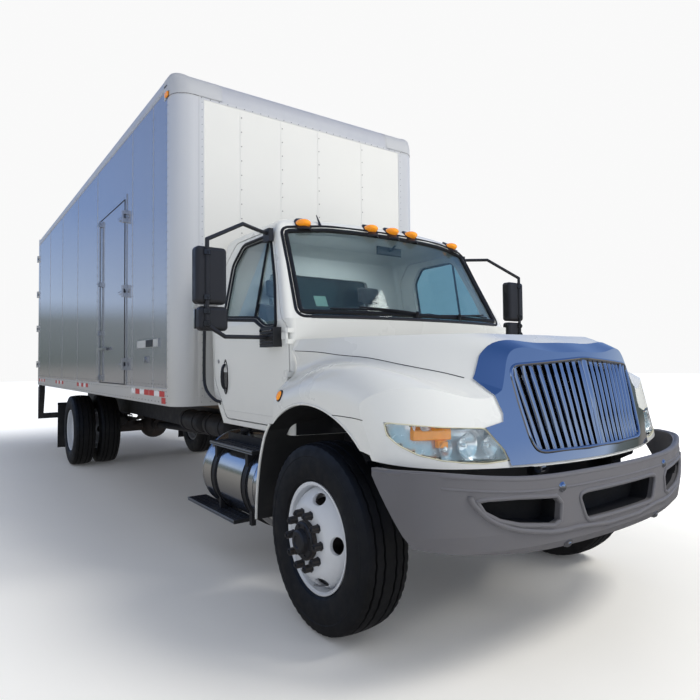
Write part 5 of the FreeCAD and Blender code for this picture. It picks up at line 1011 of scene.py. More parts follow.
WINDOW = rounded([(-0.632, 1.702), (-0.752, 2.000), (-0.915, 2.300), (-0.965, 2.345), (-1.370, 2.345),
                  (-1.500, 2.215),
                  (-1.500, 1.808), (-0.945, 1.768), (-0.800, 1.702)], 0.040)
for side, s in SIDES:
    door, body = f"cab_door_{side}", f"cab_door_{side}"
    seal, lines = Shape(), Shape()
    ring = from_side(door, ring_path(grown(WINDOW, 0.014), 3), s, -0.002)
    closed_tube(seal, ring, 0.014, 10)
    glass_ring = from_side(f"cab_door_glass_{side}", ring_path(grown(WINDOW, -0.006), 3), s, 0.002)
    closed_tube(seal, glass_ring, 0.009, 8)
    bar = from_side(f"cab_door_glass_{side}", [(-0.972, 1.775), (-0.972, 1.95), (-0.972, 2.15),
                                               (-0.972, 2.335)], s, 0.004)
    if len(bar) > 2:
        seal.tube(bar, 0.010, 8)
    seal.make(f"window_seal_{side}", "seal", body)
    path = from_side(door, [(-0.50 - 0.99 * k / 24, 1.105) for k in range(25)], s, 0.0)
    lines.tube(path, 0.0022, 6)
    path = from_side(door, [(-0.50 - 1.16 * k / 24, 1.66) for k in range(25)], s, -0.0015)
    lines.tube(path, 0.004, 6)
    lines.make(f"door_lines_{side}", "cab_paint", body)
    spot, normal = land(door, at(-1.475, 2.0 * s, 1.36), (0, -s, 0))
    cup, grip = Shape(), Shape()
    loops = []
    for depth, grow in ((0.001, 1.0), (0.004, 0.98), (0.005, 0.84), (-0.001, 0.72)):
        loops.append([spot + normal * depth + Vector((0.046 * grow * math.cos(a), 0,
                                                      0.135 * grow * math.sin(a)))
                      for a in turns(32)])
    cup.rings(loops, caps=True)
    grip.tube([spot + Vector((0.004, 0, -0.098)) + normal * 0.004,
               spot + Vector((0.006, 0, -0.075)) + normal * 0.030,
               spot + Vector((0.006, 0, 0.0)) + normal * 0.036,
               spot + Vector((0.006, 0, 0.075)) + normal * 0.030,
               spot + Vector((0.004, 0, 0.098)) + normal * 0.004], 0.012, 12)
    cup.make(f"handle_cup_{side}", "black_gloss", body)
    grip.make(f"handle_{side}", "black_plastic", body, subdivide=1)
    lock = Shape()
    spot, normal = land(door, at(-1.606, 2.0 * s, 1.475), (0, -s, 0))
    lock.disc_stack(spot, normal, [(-0.001, 0.016), (0.003, 0.0155), (0.004, 0.012), (0.0035, 0.002)], 20)
    lock.make(f"door_lock_{side}", "bolt", body)
    rail = Shape()
    rail_run = [(-1.775, s * 1.005, 2.02), (-1.780, s * 1.045, 2.00), (-1.790, s * 1.062, 1.90),
                (-1.790, s * 1.068, 1.60),
                (-1.788, s * 1.070, 1.36), (-1.755, s * 1.070, 1.27), (-1.690, s * 1.062, 1.215),
                (-1.625, s * 1.040, 1.175),
                (-1.600, s * 1.005, 1.160)]
    rail.tube(smooth_path([at(*p) for p in rail_run], 6), 0.0125, 12)
    rail.make(f"grab_rail_{side}", "black_plastic", "chassis")
    for x, y, z in ((-1.775, 0.995, 2.02), (-1.600, 0.998, 1.160)):
        foot = Shape().disc_stack(at(x, s * y, z), (0, s, 0),
                                  [(-0.03, 0.030), (0.008, 0.030), (0.014, 0.022), (0.016, 0.013)], 20)
        foot.make(f"grab_rail_foot_{side}_{int(z * 100)}", "black_plastic", "chassis")
    face, clamps, arm = Shape(), Shape(), Shape()
    out = s * 1.466
    for low, high in ((1.842, 2.154), (1.672, 1.794)):
        x = -0.776 if low > 1.7 else -0.769
        y0, y1 = sorted((out + s * 0.050, out - s * 0.114))
        plate(face, *local((x - 0.0012, y0, low), (x + 0.004, y1, high)), 0.002)
    for z in (2.135, 1.86, 1.775, 1.70):
        spot = at(-0.680, out, z)
        clamps.disc_stack(spot - Vector((0, 0, 0.017)), (0, 0, 1),
                          [(0, 0.019), (0.002, 0.022), (0.032, 0.022), (0.034, 0.019)], 16)
        clamps.box(spot + Vector((-0.036, -0.017, -0.014)), spot + Vector((-0.012, 0.017, 0.014)))
        hex_nut(clamps, spot + Vector((0.020, 0, 0)), (1, 0, 0), 0.008, 0.009)
    face.make(f"mirror_glass_{side}", "mirror_face", f"cab_door_{side}", smooth=False)
    clamps.make(f"mirror_clamps_{side}", "black_gloss", f"cab_door_{side}", bevel=0.002)
    for k in range(5):
        z = 1.582 + 0.020 * k
        arm.tube([at(-0.745, s * 1.0885, z), at(-0.66, s * 1.0895, z), at(-0.565, s * 1.0885, z)], 0.004, 6)
    for x in (-0.735, -0.575):
        hex_nut(arm, at(x, s * 1.086, 1.667), (0, s, 0), 0.010, 0.009)
    arm.make(f"mirror_foot_ribs_{side}", "black_gloss", f"cab_door_{side}")

# Freight body: rivets, seams, trims, tape, lamps and hardware

FRONT_X, BACK_X, SKIN_Y = -1.877, -9.802, 1.275
CAP_RAILS = ("body_rails", "body_roof", "body_corner_posts")
rivets = Shape()
for y in (-1.054, -0.706, -0.315, 0.071, 0.572, 1.063):
    edge = abs(y) > 1.0
    pitch = 0.062 if edge else 0.125
    z = 1.20
    while z < 3.63:
        rivet(rivets, at(FRONT_X, y, z), (1, 0, 0), 0.006)
        z += pitch
y = -1.06
while y < 1.07:
    rivet(rivets, at(FRONT_X + 0.003, y, 3.655), (1, 0, 0), 0.005)
    rivet(rivets, at(FRONT_X, y, 1.150), (1, 0, 0), 0.006)
    y += 0.076
rivets.make("front_wall_rivets", "rivet", "chassis")
trim = Shape()
trim.rings([[at(FRONT_X, -1.081, z0), at(FRONT_X, 1.081, z0)] for z0 in (3.640, 3.6401)], closed=False)
plate(trim, *local((FRONT_X - 0.002, -1.081, 3.643), (FRONT_X + 0.003, 1.081, 3.668)), 0.0015)
plate(trim, *local((FRONT_X - 0.002, -1.081, 1.120), (FRONT_X + 0.003, 1.081, 1.185)), 0.0015)
for s in (-1, 1):
    y0, y1 = sorted((s * 1.036, s * 1.081))
    plate(trim, *local((FRONT_X - 0.002, y0, 1.185), (FRONT_X + 0.003, y1, 3.643)), 0.0015)
trim.make("front_wall_trims", "mill_upright", "chassis", smooth=False)
seams = Shape()
for y in (-0.720, -0.330, 0.056, 0.558):
    plate(seams, *local((FRONT_X - 0.001, y - 0.0012, 1.185), (FRONT_X + 0.0012, y + 0.0012, 3.643)), 0.0005)
seams.make("front_wall_seams", "mill_upright", "chassis", smooth=False)

for side, s in SIDES:
    rivets, seams, caps = Shape(), Shape(), Shape()
    face = (0, s, 0)

    def door_zone(x, z):
        return s < 0 and -4.56 < x < -3.33 and z < 3.19

    joints = [-2.46, -3.14] + [-4.70 - 1.22 * k for k in range(5)]
    for x in joints:
        plate(seams, *local((x - 0.0016, s * SKIN_Y - (0.001 if s > 0 else 0.002), 1.26),
                            (x + 0.0016, s * SKIN_Y + (0.002 if s > 0 else 0.001), 3.738)), 0.0006)
        for dx in (-0.026, 0.026):
            z = 1.32
            while z < 3.70:
                if not door_zone(x + dx, z):
                    rivet(rivets, at(x + dx, s * SKIN_Y, z), face, 0.005)
                z += 0.1
    x = -2.09
    while x > BACK_X + 0.06:
        for z in (1.292, 1.235, 1.145):
            if not (z > 1.26 and door_zone(x, z)):
                rivet(rivets, at(x, s * SKIN_Y, z), face, 0.0055)
        rivet(rivets, at(x, s * SKIN_Y, 3.752), face, 0.005)
        x -= 0.1
    z = 1.2
    while z < 3.64:
        rivet(rivets, at(-2.052, s * SKIN_Y, z), face, 0.005)
        rivet(rivets, at(-2.098, s * SKIN_Y, z), face, 0.005)
        z += 0.075
    for z in (3.742, 1.257):
        plate(seams, *local((BACK_X + 0.05, s * SKIN_Y - (0.001 if s > 0 else 0.0035), z - 0.003),
                            (-2.072, s * SKIN_Y + (0.0035 if s > 0 else 0.001), z + 0.003)), 0.001)
    plate(caps, *local((BACK_X + 0.05, s * (SKIN_Y + 0.001) - 0.002, 3.768),
                       (-2.075, s * (SKIN_Y + 0.001) + 0.002, 3.784)),
          0.001)
    rivets.make(f"side_rivets_{side}", "rivet", "chassis")
    seams.make(f"side_seams_{side}", "mill", "chassis", smooth=False)
    caps.make(f"top_rail_rib_{side}", "mill", "chassis", smooth=False)
    red, white = Shape(), Shape()
    groups = [(-2.13, -2.43), (-2.58, -3.14), (-5.2, -5.8), (-7.0, -7.6), (-8.9, -9.5)]
    for start, end in groups:
        x, k = start, 0
        while x > end:
            target = red if k % 2 == 0 else white
            low, high = sorted((s * SKIN_Y, s * (SKIN_Y + 0.0009)))
            plate(target, *local((x - 0.145, low, 1.188), (x - 0.002, high, 1.236)), 0.0003)
            x -= 0.147
            k += 1
    low, high = sorted((s * SKIN_Y, s * (SKIN_Y + 0.0009)))
    plate(red, *local((-2.215, low, 1.132), (-2.105, high, 1.182)), 0.0003)
    red.make(f"tape_red_{side}", "tape_red", "chassis", smooth=False)
    white.make(f"tape_white_{side}", "tape_white", "chassis", smooth=False)

strip = Shape()
strip_face = Shape()
plate(strip_face, *local((-2.918, -1.2885, 1.612), (-2.272, -1.2865, 1.678)), 0.001)
strip_face.make("strip_face", "mill", "chassis", smooth=False)
plate(strip, *local((-2.63, -1.2905, 1.614), (-2.415, -1.288, 1.676)), 0.002)
strip.make("strip_insert", "black_plastic", "chassis", smooth=False)
latch = Shape()
latch.disc_stack(at(-2.645, -1.286, 1.505), (0, -1, 0), [(0, 0.026), (0.006, 0.026), (0.010, 0.020),
                                                         (0.011, 0.004)], 20)
plate(latch, *local((-2.662, -1.298, 1.478), (-2.628, -1.287, 1.532)), 0.003)
for x in (-2.90, -2.29):
    for z in (1.620, 1.668):
        rivet(latch, at(x, -1.287, z), (0, -1, 0), 0.006)
latch.make("strip_screws", "bolt", "chassis")

door = Shape()
lever_z, rod_x = 1.642, -4.438
for z in (1.322, 1.822, 2.382, 3.070):
    door.disc_stack(at(rod_x, -1.303, z - 0.026), (0, 0, 1),
                    [(0, 0.013), (0.002, 0.017), (0.050, 0.017), (0.052, 0.013)], 16)
    for dx in (-0.020, 0.020):
        rivet(door, at(rod_x + dx, -1.303, z + 0.014), (0, -1, 0), 0.006)
        rivet(door, at(rod_x + dx, -1.303, z - 0.014), (0, -1, 0), 0.006)
for k in range(3):
    z = 1.262 + 1.868 * (0.11, 0.5, 0.9)[k]
    for dx in (0.035, 0.075, 0.115):
        rivet(door, at(-3.39 - dx, -1.3153, z), (0, -1, 0), 0.006)
plate(door, *local((-4.20, -1.320, lever_z - 0.019), (-4.06, -1.308, lever_z + 0.019)), 0.003)
door.make("side_door_fittings", "bolt", "side_door")
edge = Shape()
for a, b in (((-4.495, 1.267), (-4.495, 3.125)), ((-4.495, 3.125), (-3.395, 3.125)),
             ((-3.395, 3.125), (-3.395, 1.267)),
             ((-3.395, 1.267), (-4.495, 1.267))):
    steps = [(a[0] + (b[0] - a[0]) * k / 8, a[1] + (b[1] - a[1]) * k / 8) for k in range(9)]
    edge.tube([at(x, -1.2835, z) for x, z in steps], 0.005, 8)
edge.make("side_door_gasket", "seal", "side_door")
frame_trim = Shape()
for z in range(13):
    rivet(frame_trim, at(-4.522, -1.283, 1.32 + 0.145 * z), (0, -1, 0), 0.005)
    rivet(frame_trim, at(-3.368, -1.283, 1.35 + 0.145 * z), (0, -1, 0), 0.005)
for k in range(8):
    rivet(frame_trim, at(-4.45 + 0.145 * k, -1.283, 3.152), (0, -1, 0), 0.005)
frame_trim.make("side_door_frame_rivets", "rivet", "chassis")

for side, s in SIDES:
    cap, shell, joint = Shape(), Shape(), Shape()
    rows = []
    front_in = side_in = 0.0
    for z in (3.662, 3.70, 3.74, 3.77, 3.795, 3.815, 3.830, 3.842, 3.850, 3.855):
        met_front = land(CAP_RAILS, at(1.0, s * 0.93, z), (-1, 0, 0))[0]
        met_side = land(CAP_RAILS, at(-2.16, s * 2.0, z), (0, -s, 0))[0]
        front_in = max(front_in, at(FRONT_X, 0, 0).x - met_front.x) if met_front is not None else front_in
        side_in = max(side_in, SKIN_Y - abs(met_side.y)) if met_side is not None else side_in
        front_in, side_in = min(front_in, 0.16), min(side_in, 0.16)
        row = [at(x, s * (SKIN_Y + 0.003 - side_in), z) for x in (-2.150, -2.110, -2.070, -2.030)]
        for k in range(13):
            turn = k / 12
            a = math.pi / 2 * turn
            inset = side_in + (front_in - side_in) * (3 - 2 * turn) * turn ** 2
            reach = 0.153 - inset
            row.append(at(-2.027 + reach * math.sin(a), s * (1.125 + reach * math.cos(a)), z))
        row += [at(FRONT_X + 0.003 - front_in, s * y, z) for y in (1.08, 1.00, 0.92, 0.88)]
        rows.append(row)
    rows.append([p.lerp(at(-2.20, s * 1.00, 3.858), 0.45) + Vector((0, 0, 0.002)) for p in rows[-1]])
    shell.rings(rows, closed=False)
    shell.make(f"corner_cap_{side}", "cast_alu", "chassis", angle=50)
    y0, y1 = sorted((s * 1.2745, s * 1.2795))
    plate(cap, *local((-2.103, y0, 3.665), (-2.017, y1, 3.712)), 0.002)
    cap.make(f"cap_lamp_base_{side}", "black_plastic", "chassis", smooth=False)
    path = [at(-2.071, s * 1.2762, 3.666)]
    for k in range(10):
        a = math.pi / 2 * k / 9
        x = -2.027 + 0.1512 * math.sin(a)
        y = s * (1.125 + 0.1512 * math.cos(a))
        path.append(at(x, y, 3.666))
    path.append(at(FRONT_X + 0.0012, s * 1.081, 3.666))
    joint.tube(path, 0.0028, 6)
    joint.make(f"cap_joint_{side}", "seal", "chassis")

# Rear: door gaskets, keepers, lamps, blank plate, bumpers

for side, s in SIDES:
    fit = Shape()
    for z in (1.315, 1.875, 2.495, 3.115, 3.675):
        fit.disc_stack(at(BACK_X - 0.020, s * 0.130, z - 0.026), (0, 0, 1),
                       [(0, 0.013), (0.002, 0.017), (0.050, 0.017), (0.052, 0.013)], 16)
        for dy in (-0.020, 0.020):
            rivet(fit, at(BACK_X - 0.020, s * (0.130 + dy), z + 0.016), (-1, 0, 0), 0.006)
    for share in (0.1, 0.37, 0.63, 0.9):
        z = 1.250 + 2.490 * share
        for dy in (0.04, 0.08, 0.12):
            rivet(fit, at(BACK_X - 0.036, s * (1.195 - dy), z), (-1, 0, 0), 0.006)
    y0, y1 = sorted((s * 0.330, s * 0.455))
    plate(fit, *local((BACK_X - 0.0320, y0, 1.655), (BACK_X - 0.0275, y1, 1.695)), 0.001)
    fit.make(f"rear_door_fittings_{side}", "bolt", f"rear_door_{side}")
    gasket = Shape()
    y_in, y_out = s * 0.007, s * 1.208
    corners = [(y_in, 1.258), (y_out, 1.258), (y_out, 3.732), (y_in, 3.732)]
    closed_tube(gasket, [at(BACK_X - 0.001, y, z) for y, z in ring_path(corners, 6)], 0.006, 8)
    gasket.make(f"rear_door_gasket_{side}", "seal", f"rear_door_{side}")
    stripes = Shape()
    for k in range(5):
        y0, y1 = sorted((s * (0.20 + 0.2 * k), s * (0.29 + 0.2 * k)))
        plate(stripes, *local((BACK_X - 0.0009, y0, 1.44), (BACK_X, y1, 1.49)), 0.0002)
    stripes.make(f"rear_tape_{side}", "tape_red", f"rear_door_{side}", smooth=False)
lamps, backs = Shape(), Shape()
for y in (-1.16, -0.152, 0.0, 0.152, 1.16):
    backs.disc_stack(at(BACK_X, y, 3.80), (-1, 0, 0), [(-0.001, 0.036), (0.008, 0.036), (0.010, 0.032)], 24)
    lamps.disc_stack(at(BACK_X - 0.008, y, 3.80), (-1, 0, 0),
                     [(0, 0.031), (0.006, 0.030), (0.011, 0.022), (0.013, 0.002)], 24)
for s in (-1, 1):
    for y in (0.80, 0.96, 1.12):
        backs.disc_stack(at(BACK_X, s * y, 1.183), (-1, 0, 0),
                         [(-0.001, 0.058), (0.010, 0.058), (0.012, 0.053)], 28)
        lamps.disc_stack(at(BACK_X - 0.010, s * y, 1.183), (-1, 0, 0),
                         [(0, 0.050), (0.008, 0.049), (0.015, 0.036), (0.018, 0.002)], 28)
backs.make("rear_lamp_grommets", "rubber", "chassis")
lamps.make("rear_lamps", "red_lens", "chassis")
step_x = REAR_AXLE - 3.092
number_plate = Shape()
plate(number_plate, *local((step_x - 0.004, -0.152, 0.444), (step_x - 0.001, 0.152, 0.596)), 0.001)
number_plate.make("number_plate", "tape_white", "chassis", smooth=False)
screws = Shape()
for y in (-0.089, 0.089):
    hex_nut(screws, at(step_x - 0.004, y, 0.520), (-1, 0, 0), 0.006, 0.004)
screws.make("number_plate_screws", "bolt", "chassis")
buffers = Shape()
for s in (-1, 1):
    y0, y1 = sorted((s * 0.62, s * 0.72))
    plate(buffers, *local((BACK_X - 0.030, y0, 1.125), (BACK_X, y1, 1.235)), 0.008)
buffers.make("dock_buffers", "rubber", "chassis", bevel=0.004)
treads = Shape()
for k in range(-22, 23):
    plate(treads, *local((step_x + 0.008, k * 0.05 - 0.006, 0.570),
                         (step_x + 0.062, k * 0.05 + 0.006, 0.5735)), 0.001)
treads.make("rear_step_treads", "step_plate", "chassis", smooth=False)

# Tank, steps and boxes

for side, s in (("right", -1), ("left", 1)):
    studs, edges = Shape(), Shape()
    for x0, x1, out, deep, z in ((-2.010, -1.085, 1.122, 0.150, 0.375),
                                 (-1.500, -0.770, 1.132, 0.150, 0.886)):
        rows, count = 3, int((x1 - x0) / 0.052)
        for i in range(count):
            for j in range(rows):
                x = x0 + 0.035 + i * (x1 - x0 - 0.07) / (count - 1)
                y = s * (out - 0.030 - j * (deep - 0.06) / (rows - 1))
                low = land(("tank_brackets_steps",) if s < 0 else ("battery_box",), at(x, y, z + 0.2),
                           (0, 0, -1))[0]
                if low is not None and abs(low.z - z) < 0.01:
                    studs.disc_stack(at(x, y, z), (0, 0, 1),
                                     [(-0.001, 0.013), (0.003, 0.011), (0.004, 0.008), (0.0005, 0.007)], 10)
        edges.tube([at(x0 + 0.005, s * out, z - 0.006), at((x0 + x1) / 2, s * out, z - 0.006),
                    at(x1 - 0.005, s * out, z - 0.006)],
                   0.0065, 10)
        edges.tube([at(x0 + 0.005, s * out, z - 0.021), at((x0 + x1) / 2, s * out, z - 0.021),
                    at(x1 - 0.005, s * out, z - 0.021)],
                   0.0045, 8)
    studs.make(f"step_grips_{side}", "step_plate", "chassis")
    edges.make(f"step_edges_{side}", "step_edge", "chassis")
tank = Shape()
for x in (-1.700, -0.818):
    loop = [at(x, -0.810 + 0.3012 * math.cos(a), 0.630 + 0.3012 * math.sin(a)) for a in turns(64)]
    closed_tube(tank, loop, 0.0035, 6)
tank.make("tank_seams", "polished", "chassis")
neck = at(-1.353, -0.810, 0.630)
lean = Vector((0, -math.sin(math.radians(16)), math.cos(math.radians(16))))
cap = Shape().disc_stack(neck + lean * 0.334, lean, [(-0.004, 0.040), (0, 0.047), (0.020, 0.047),
                                                     (0.024, 0.042), (0.025, 0.004)], 28)
cap.box(neck + lean * 0.358 + Vector((-0.030, -0.006, 0)),
        neck + lean * 0.358 + Vector((0.030, 0.006, 0.010)))
cap.make("tank_cap", "black_plastic", "chassis", bevel=0.001)
straps = Shape()
for x in (-1.486, -0.950):
    for dx in (-0.034, 0.034):
        loop = [at(x + dx, -0.810 + 0.3075 * math.cos(a), 0.630 + 0.3075 * math.sin(a))
                for a in (math.radians(100 + 170 * k / 40) for k in range(41))]
        straps.tube(loop, 0.0035, 6)
straps.make("tank_strap_beads", "black_gloss", "chassis")
lid = Shape()
for x0, x1 in ((-1.715, -1.262), (-1.256, -0.803)):
    plate(lid, *local((x0, 0.979, 0.485), (x1, 0.986, 0.838)), 0.003)
    for z in (0.60, 0.72):
        lid.tube([at(x0 + 0.06, 0.988, z), at((x0 + x1) / 2, 0.990, z), at(x1 - 0.06, 0.988, z)], 0.007, 8)
lid.make("battery_box_lids", "black_plastic", "chassis")

# Seats: padded cushions, backs and head rests on a pedestal

def pad(name, outline, y, half, look="seat_cloth", voxel=0.010, swell=0.022):
    """A sewn pad: an (x, z) outline as wide as 2 * half about y, puffed up by a short cloth run."""
    mesh = bpy.data.meshes.new(name)
    middle = Vector((sum(p[0] for p in outline) / 4, sum(p[1] for p in outline) / 4))
    ring = [middle + (Vector(p) - middle) * 0.93 for p in outline]
    points = [at(x, y + e * (half - 0.012), z) for e in (-1, 1) for x, z in ring]
    faces = [(0, 1, 2, 3), (7, 6, 5, 4), (0, 4, 5, 1), (1, 5, 6, 2), (2, 6, 7, 3), (3, 7, 4, 0)]
    mesh.from_pydata(points, [], faces)
    work = bmesh.new()
    work.from_mesh(mesh)
    bmesh.ops.recalc_face_normals(work, faces=work.faces)
    bmesh.ops.bevel(work, geom=list(work.edges), offset=0.026, segments=3, profile=0.6, affect="EDGES")
    work.to_mesh(mesh)
    work.free()
    obj = bpy.data.objects.new(name, mesh)
    bpy.context.collection.objects.link(obj)
    remesh = obj.modifiers.new("remesh", "REMESH")
    remesh.mode = "VOXEL"
    remesh.voxel_size = voxel
    graph = bpy.context.evaluated_depsgraph_get()
    graph.update()
    dense = bpy.data.meshes.new_from_object(obj.evaluated_get(graph))
    obj.modifiers.clear()
    obj.data = dense
    start = [v.co.copy() for v in dense.vertices]
    cloth = obj.modifiers.new("cloth", "CLOTH")
    cloth.settings.use_pressure = True
    cloth.settings.uniform_pressure_force = 4.0
    cloth.settings.effector_weights.gravity = 0.0
    cloth.settings.quality = 4
    cloth.point_cache.frame_start = 1
    cloth.point_cache.frame_end = 14
    scene = bpy.context.scene
    for frame_number in range(1, 15):
        scene.frame_set(frame_number)
    graph = bpy.context.evaluated_depsgraph_get()
    puffed = bpy.data.meshes.new_from_object(obj.evaluated_get(graph))
    obj.modifiers.clear()
    for before, vert in zip(start, puffed.vertices):
        move = vert.co - before
        if move.length > swell:
            vert.co = before + move.normalized() * swell
    obj.data = puffed
    scene.frame_set(1)
    obj.data.materials.clear()
    obj.data.materials.append(M[look])
    obj.data.polygons.foreach_set("use_smooth", [True] * len(obj.data.polygons))
    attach(obj, "chassis")
    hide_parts("seats")
    return obj


SEAT_FLOOR, SEAT = 1.065, -1.335
for side, y in (("left", 0.470), ("right", -0.470)):
    pad(f"seat_cushion_{side}", [(SEAT - 0.250, 1.318), (SEAT + 0.215, 1.330), (SEAT + 0.212, 1.448),
                                 (SEAT - 0.250, 1.438)],
        y, 0.245)
    pad(f"seat_back_{side}", [(SEAT - 0.238, 1.455), (SEAT - 0.128, 1.455), (SEAT - 0.256, 1.975),
                              (SEAT - 0.346, 1.975)],
        y, 0.230)
    pad(f"head_rest_{side}", [(SEAT - 0.340, 2.000), (SEAT - 0.272, 2.000), (SEAT - 0.296, 2.165),
                              (SEAT - 0.368, 2.165)],
        y, 0.125)
    base, posts, piping = Shape(), Shape(), Shape()
    loops = []
    for z, grow in ((SEAT_FLOOR, 1.0), (1.09, 1.0), (1.10, 0.86), (1.27, 0.80), (1.29, 1.12), (1.318, 1.16)):
        loops.append([at(SEAT + 0.005 + dx * grow, y + dy * grow, z)
                      for dx, dy in ((-0.16, -0.18), (0.18, -0.18), (0.18, 0.18), (-0.16, 0.18))])
    base.rings(loops, caps=True)
    piece = base.make(f"seat_base_{side}", "seat_vinyl", "chassis", bevel=0.006)
    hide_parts("seats")
    for dy in (-0.06, 0.06):
        posts.tube([at(SEAT - 0.302, y + dy, 1.95), at(SEAT - 0.310, y + dy, 2.03)], 0.007, 10)
    piece = posts.make(f"head_rest_posts_{side}", "bolt", "chassis")
    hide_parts("seats")
    for dy in (-0.085, 0.085):
        piping.tube([at(SEAT - 0.110, y + dy, 1.462), at(SEAT - 0.160, y + dy, 1.66),
                     at(SEAT - 0.206, y + dy, 1.84),
                     at(SEAT - 0.244, y + dy, 1.970)], 0.004, 6)
    piece = piping.make(f"seat_piping_{side}", "seat_vinyl", "chassis")
    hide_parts("seats")

# Dashboard: binnacle, dials, vents; pedals, stalks and gear lever

DASH = -0.505
binnacle, dials, vents = Shape(), Shape(), Shape()
loops = []
for x, z, w in ((DASH - 0.10, 1.712, 0.19), (DASH - 0.22, 1.745, 0.20), (DASH - 0.295, 1.730, 0.205),
                (DASH - 0.300, 1.700, 0.205),
                (DASH - 0.300, 1.680, 0.20)):
    loops.append([at(x, 0.470 + w * math.cos(a),
                     z + 0.012 * math.sin(a)) for a in (math.pi * k / 12 for k in range(13))])
binnacle.rings(loops, closed=False)
binnacle.make("binnacle", "black_plastic", "chassis", solidify=0.006)
for dy in (-0.12, -0.04, 0.04, 0.12):
    spot, normal = land("dashboard", at(DASH - 0.60, 0.470 + dy, 1.632), (1, 0, 0))
    if spot is not None:
        dials.disc_stack(spot, normal, [(-0.001, 0.036), (0.010, 0.036), (0.012, 0.032), (0.006, 0.031),
                                        (0.0055, 0.002)], 28)
dials.make("dash_dials", "bolt", "chassis")
for y in (-0.78, -0.60, -0.10, 0.10, 0.80):
    spot, normal = land("dashboard", at(DASH - 0.60, y, 1.645), (1, 0, 0))
    if spot is None:
        continue
    for k in range(5):
        z = spot.z - 0.020 + 0.010 * k
        vents.tube([(spot.x - 0.006, y - 0.045, z), (spot.x - 0.008, y, z), (spot.x - 0.006, y + 0.045, z)],
                   0.0028, 6)
vents.make("dash_vents", "black_gloss", "chassis")
stalks = Shape()
stalks.tube([at(-0.915, 0.50, 1.650), at(-0.925, 0.60, 1.665), at(-0.930, 0.655, 1.672)], 0.007, 10,
            (0.8, 1, 1.3))
stalks.tube([at(-0.915, 0.44, 1.650), at(-0.925, 0.34, 1.665), at(-0.930, 0.285, 1.672)], 0.007, 10,
            (0.8, 1, 1.3))
stalks.make("column_stalks", "black_plastic", "chassis")
pedals = Shape()
for y, h in ((0.30, 0.05), (0.42, 0.06), (0.58, 0.055)):
    pedals.tube([at(-0.70, y, 1.36), at(-0.735, y, 1.28), at(-0.755, y, 1.20)], 0.009, 8)
    plate(pedals, *local((-0.770, y - 0.035, 1.175), (-0.755, y + 0.035, 1.175 + h + 0.03)), 0.004)
pedals.make("pedals", "black_plastic", "chassis")
lever = Shape()
lever.disc_stack(at(-1.02, 0.04, 1.066), (0, 0, 1), [(0, 0.10), (0.02, 0.095), (0.05, 0.06), (0.10, 0.035),
                                                     (0.14, 0.016)], 24)
lever.tube([at(-1.02, 0.04, 1.19), at(-1.01, 0.05, 1.40), at(-1.03, 0.08, 1.56)], 0.010, 10)
lever.disc_stack(at(-1.032, 0.083, 1.552), (-0.1, 0.15, 1),
                 [(0, 0.014), (0.012, 0.024), (0.035, 0.029), (0.055, 0.022), (0.063, 0.004)], 18)
lever.make("gear_lever", "black_plastic", "chassis")
for side, s in SIDES:
    panel, rest = Shape(), Shape()
    outline = rounded([(-0.62, 1.14), (-0.60, 1.62), (-1.62, 1.62), (-1.60, 1.38), (-1.50, 1.14)], 0.05)
    verts, faces = filled(outline, 0.12)
    found = []
    for x, z in verts:
        found.append(at(x, s * (0.9505 + 0.0285 * (z - 1.14) / 0.6 - 0.006), z))
    panel.add(found, faces)
    panel.make(f"door_trim_{side}", "seat_vinyl", f"cab_door_{side}", solidify=0.006, angle=50)
    rest.tube(smooth_path([at(-0.86, s * 0.940, 1.44), at(-0.92, s * 0.905, 1.45), at(-1.15, s * 0.900, 1.43),
                           at(-1.38, s * 0.905, 1.43), at(-1.44, s * 0.945, 1.42)], 4), 0.030, 12)
    rest.make(f"arm_rest_{side}", "seat_vinyl", f"cab_door_{side}")
mirror_in = Shape()
top = land("cab_glass", at(2.0, 0.0, 2.33), (-1, 0, 0))[0]
mirror_in.tube([top + Vector((-0.012, 0, 0.01)), top + Vector((-0.04, 0, -0.005)),
                top + Vector((-0.075, 0, -0.02))], 0.007, 8)
plate(mirror_in, top + Vector((-0.095, -0.12, -0.055)), top + Vector((-0.075, 0.12, 0.010)), 0.008)
mirror_in.make("inner_mirror", "black_plastic", "chassis")

# Under the truck: shackle bolts, spring bolts, brake pots, shock absorbers, air tanks, exhaust

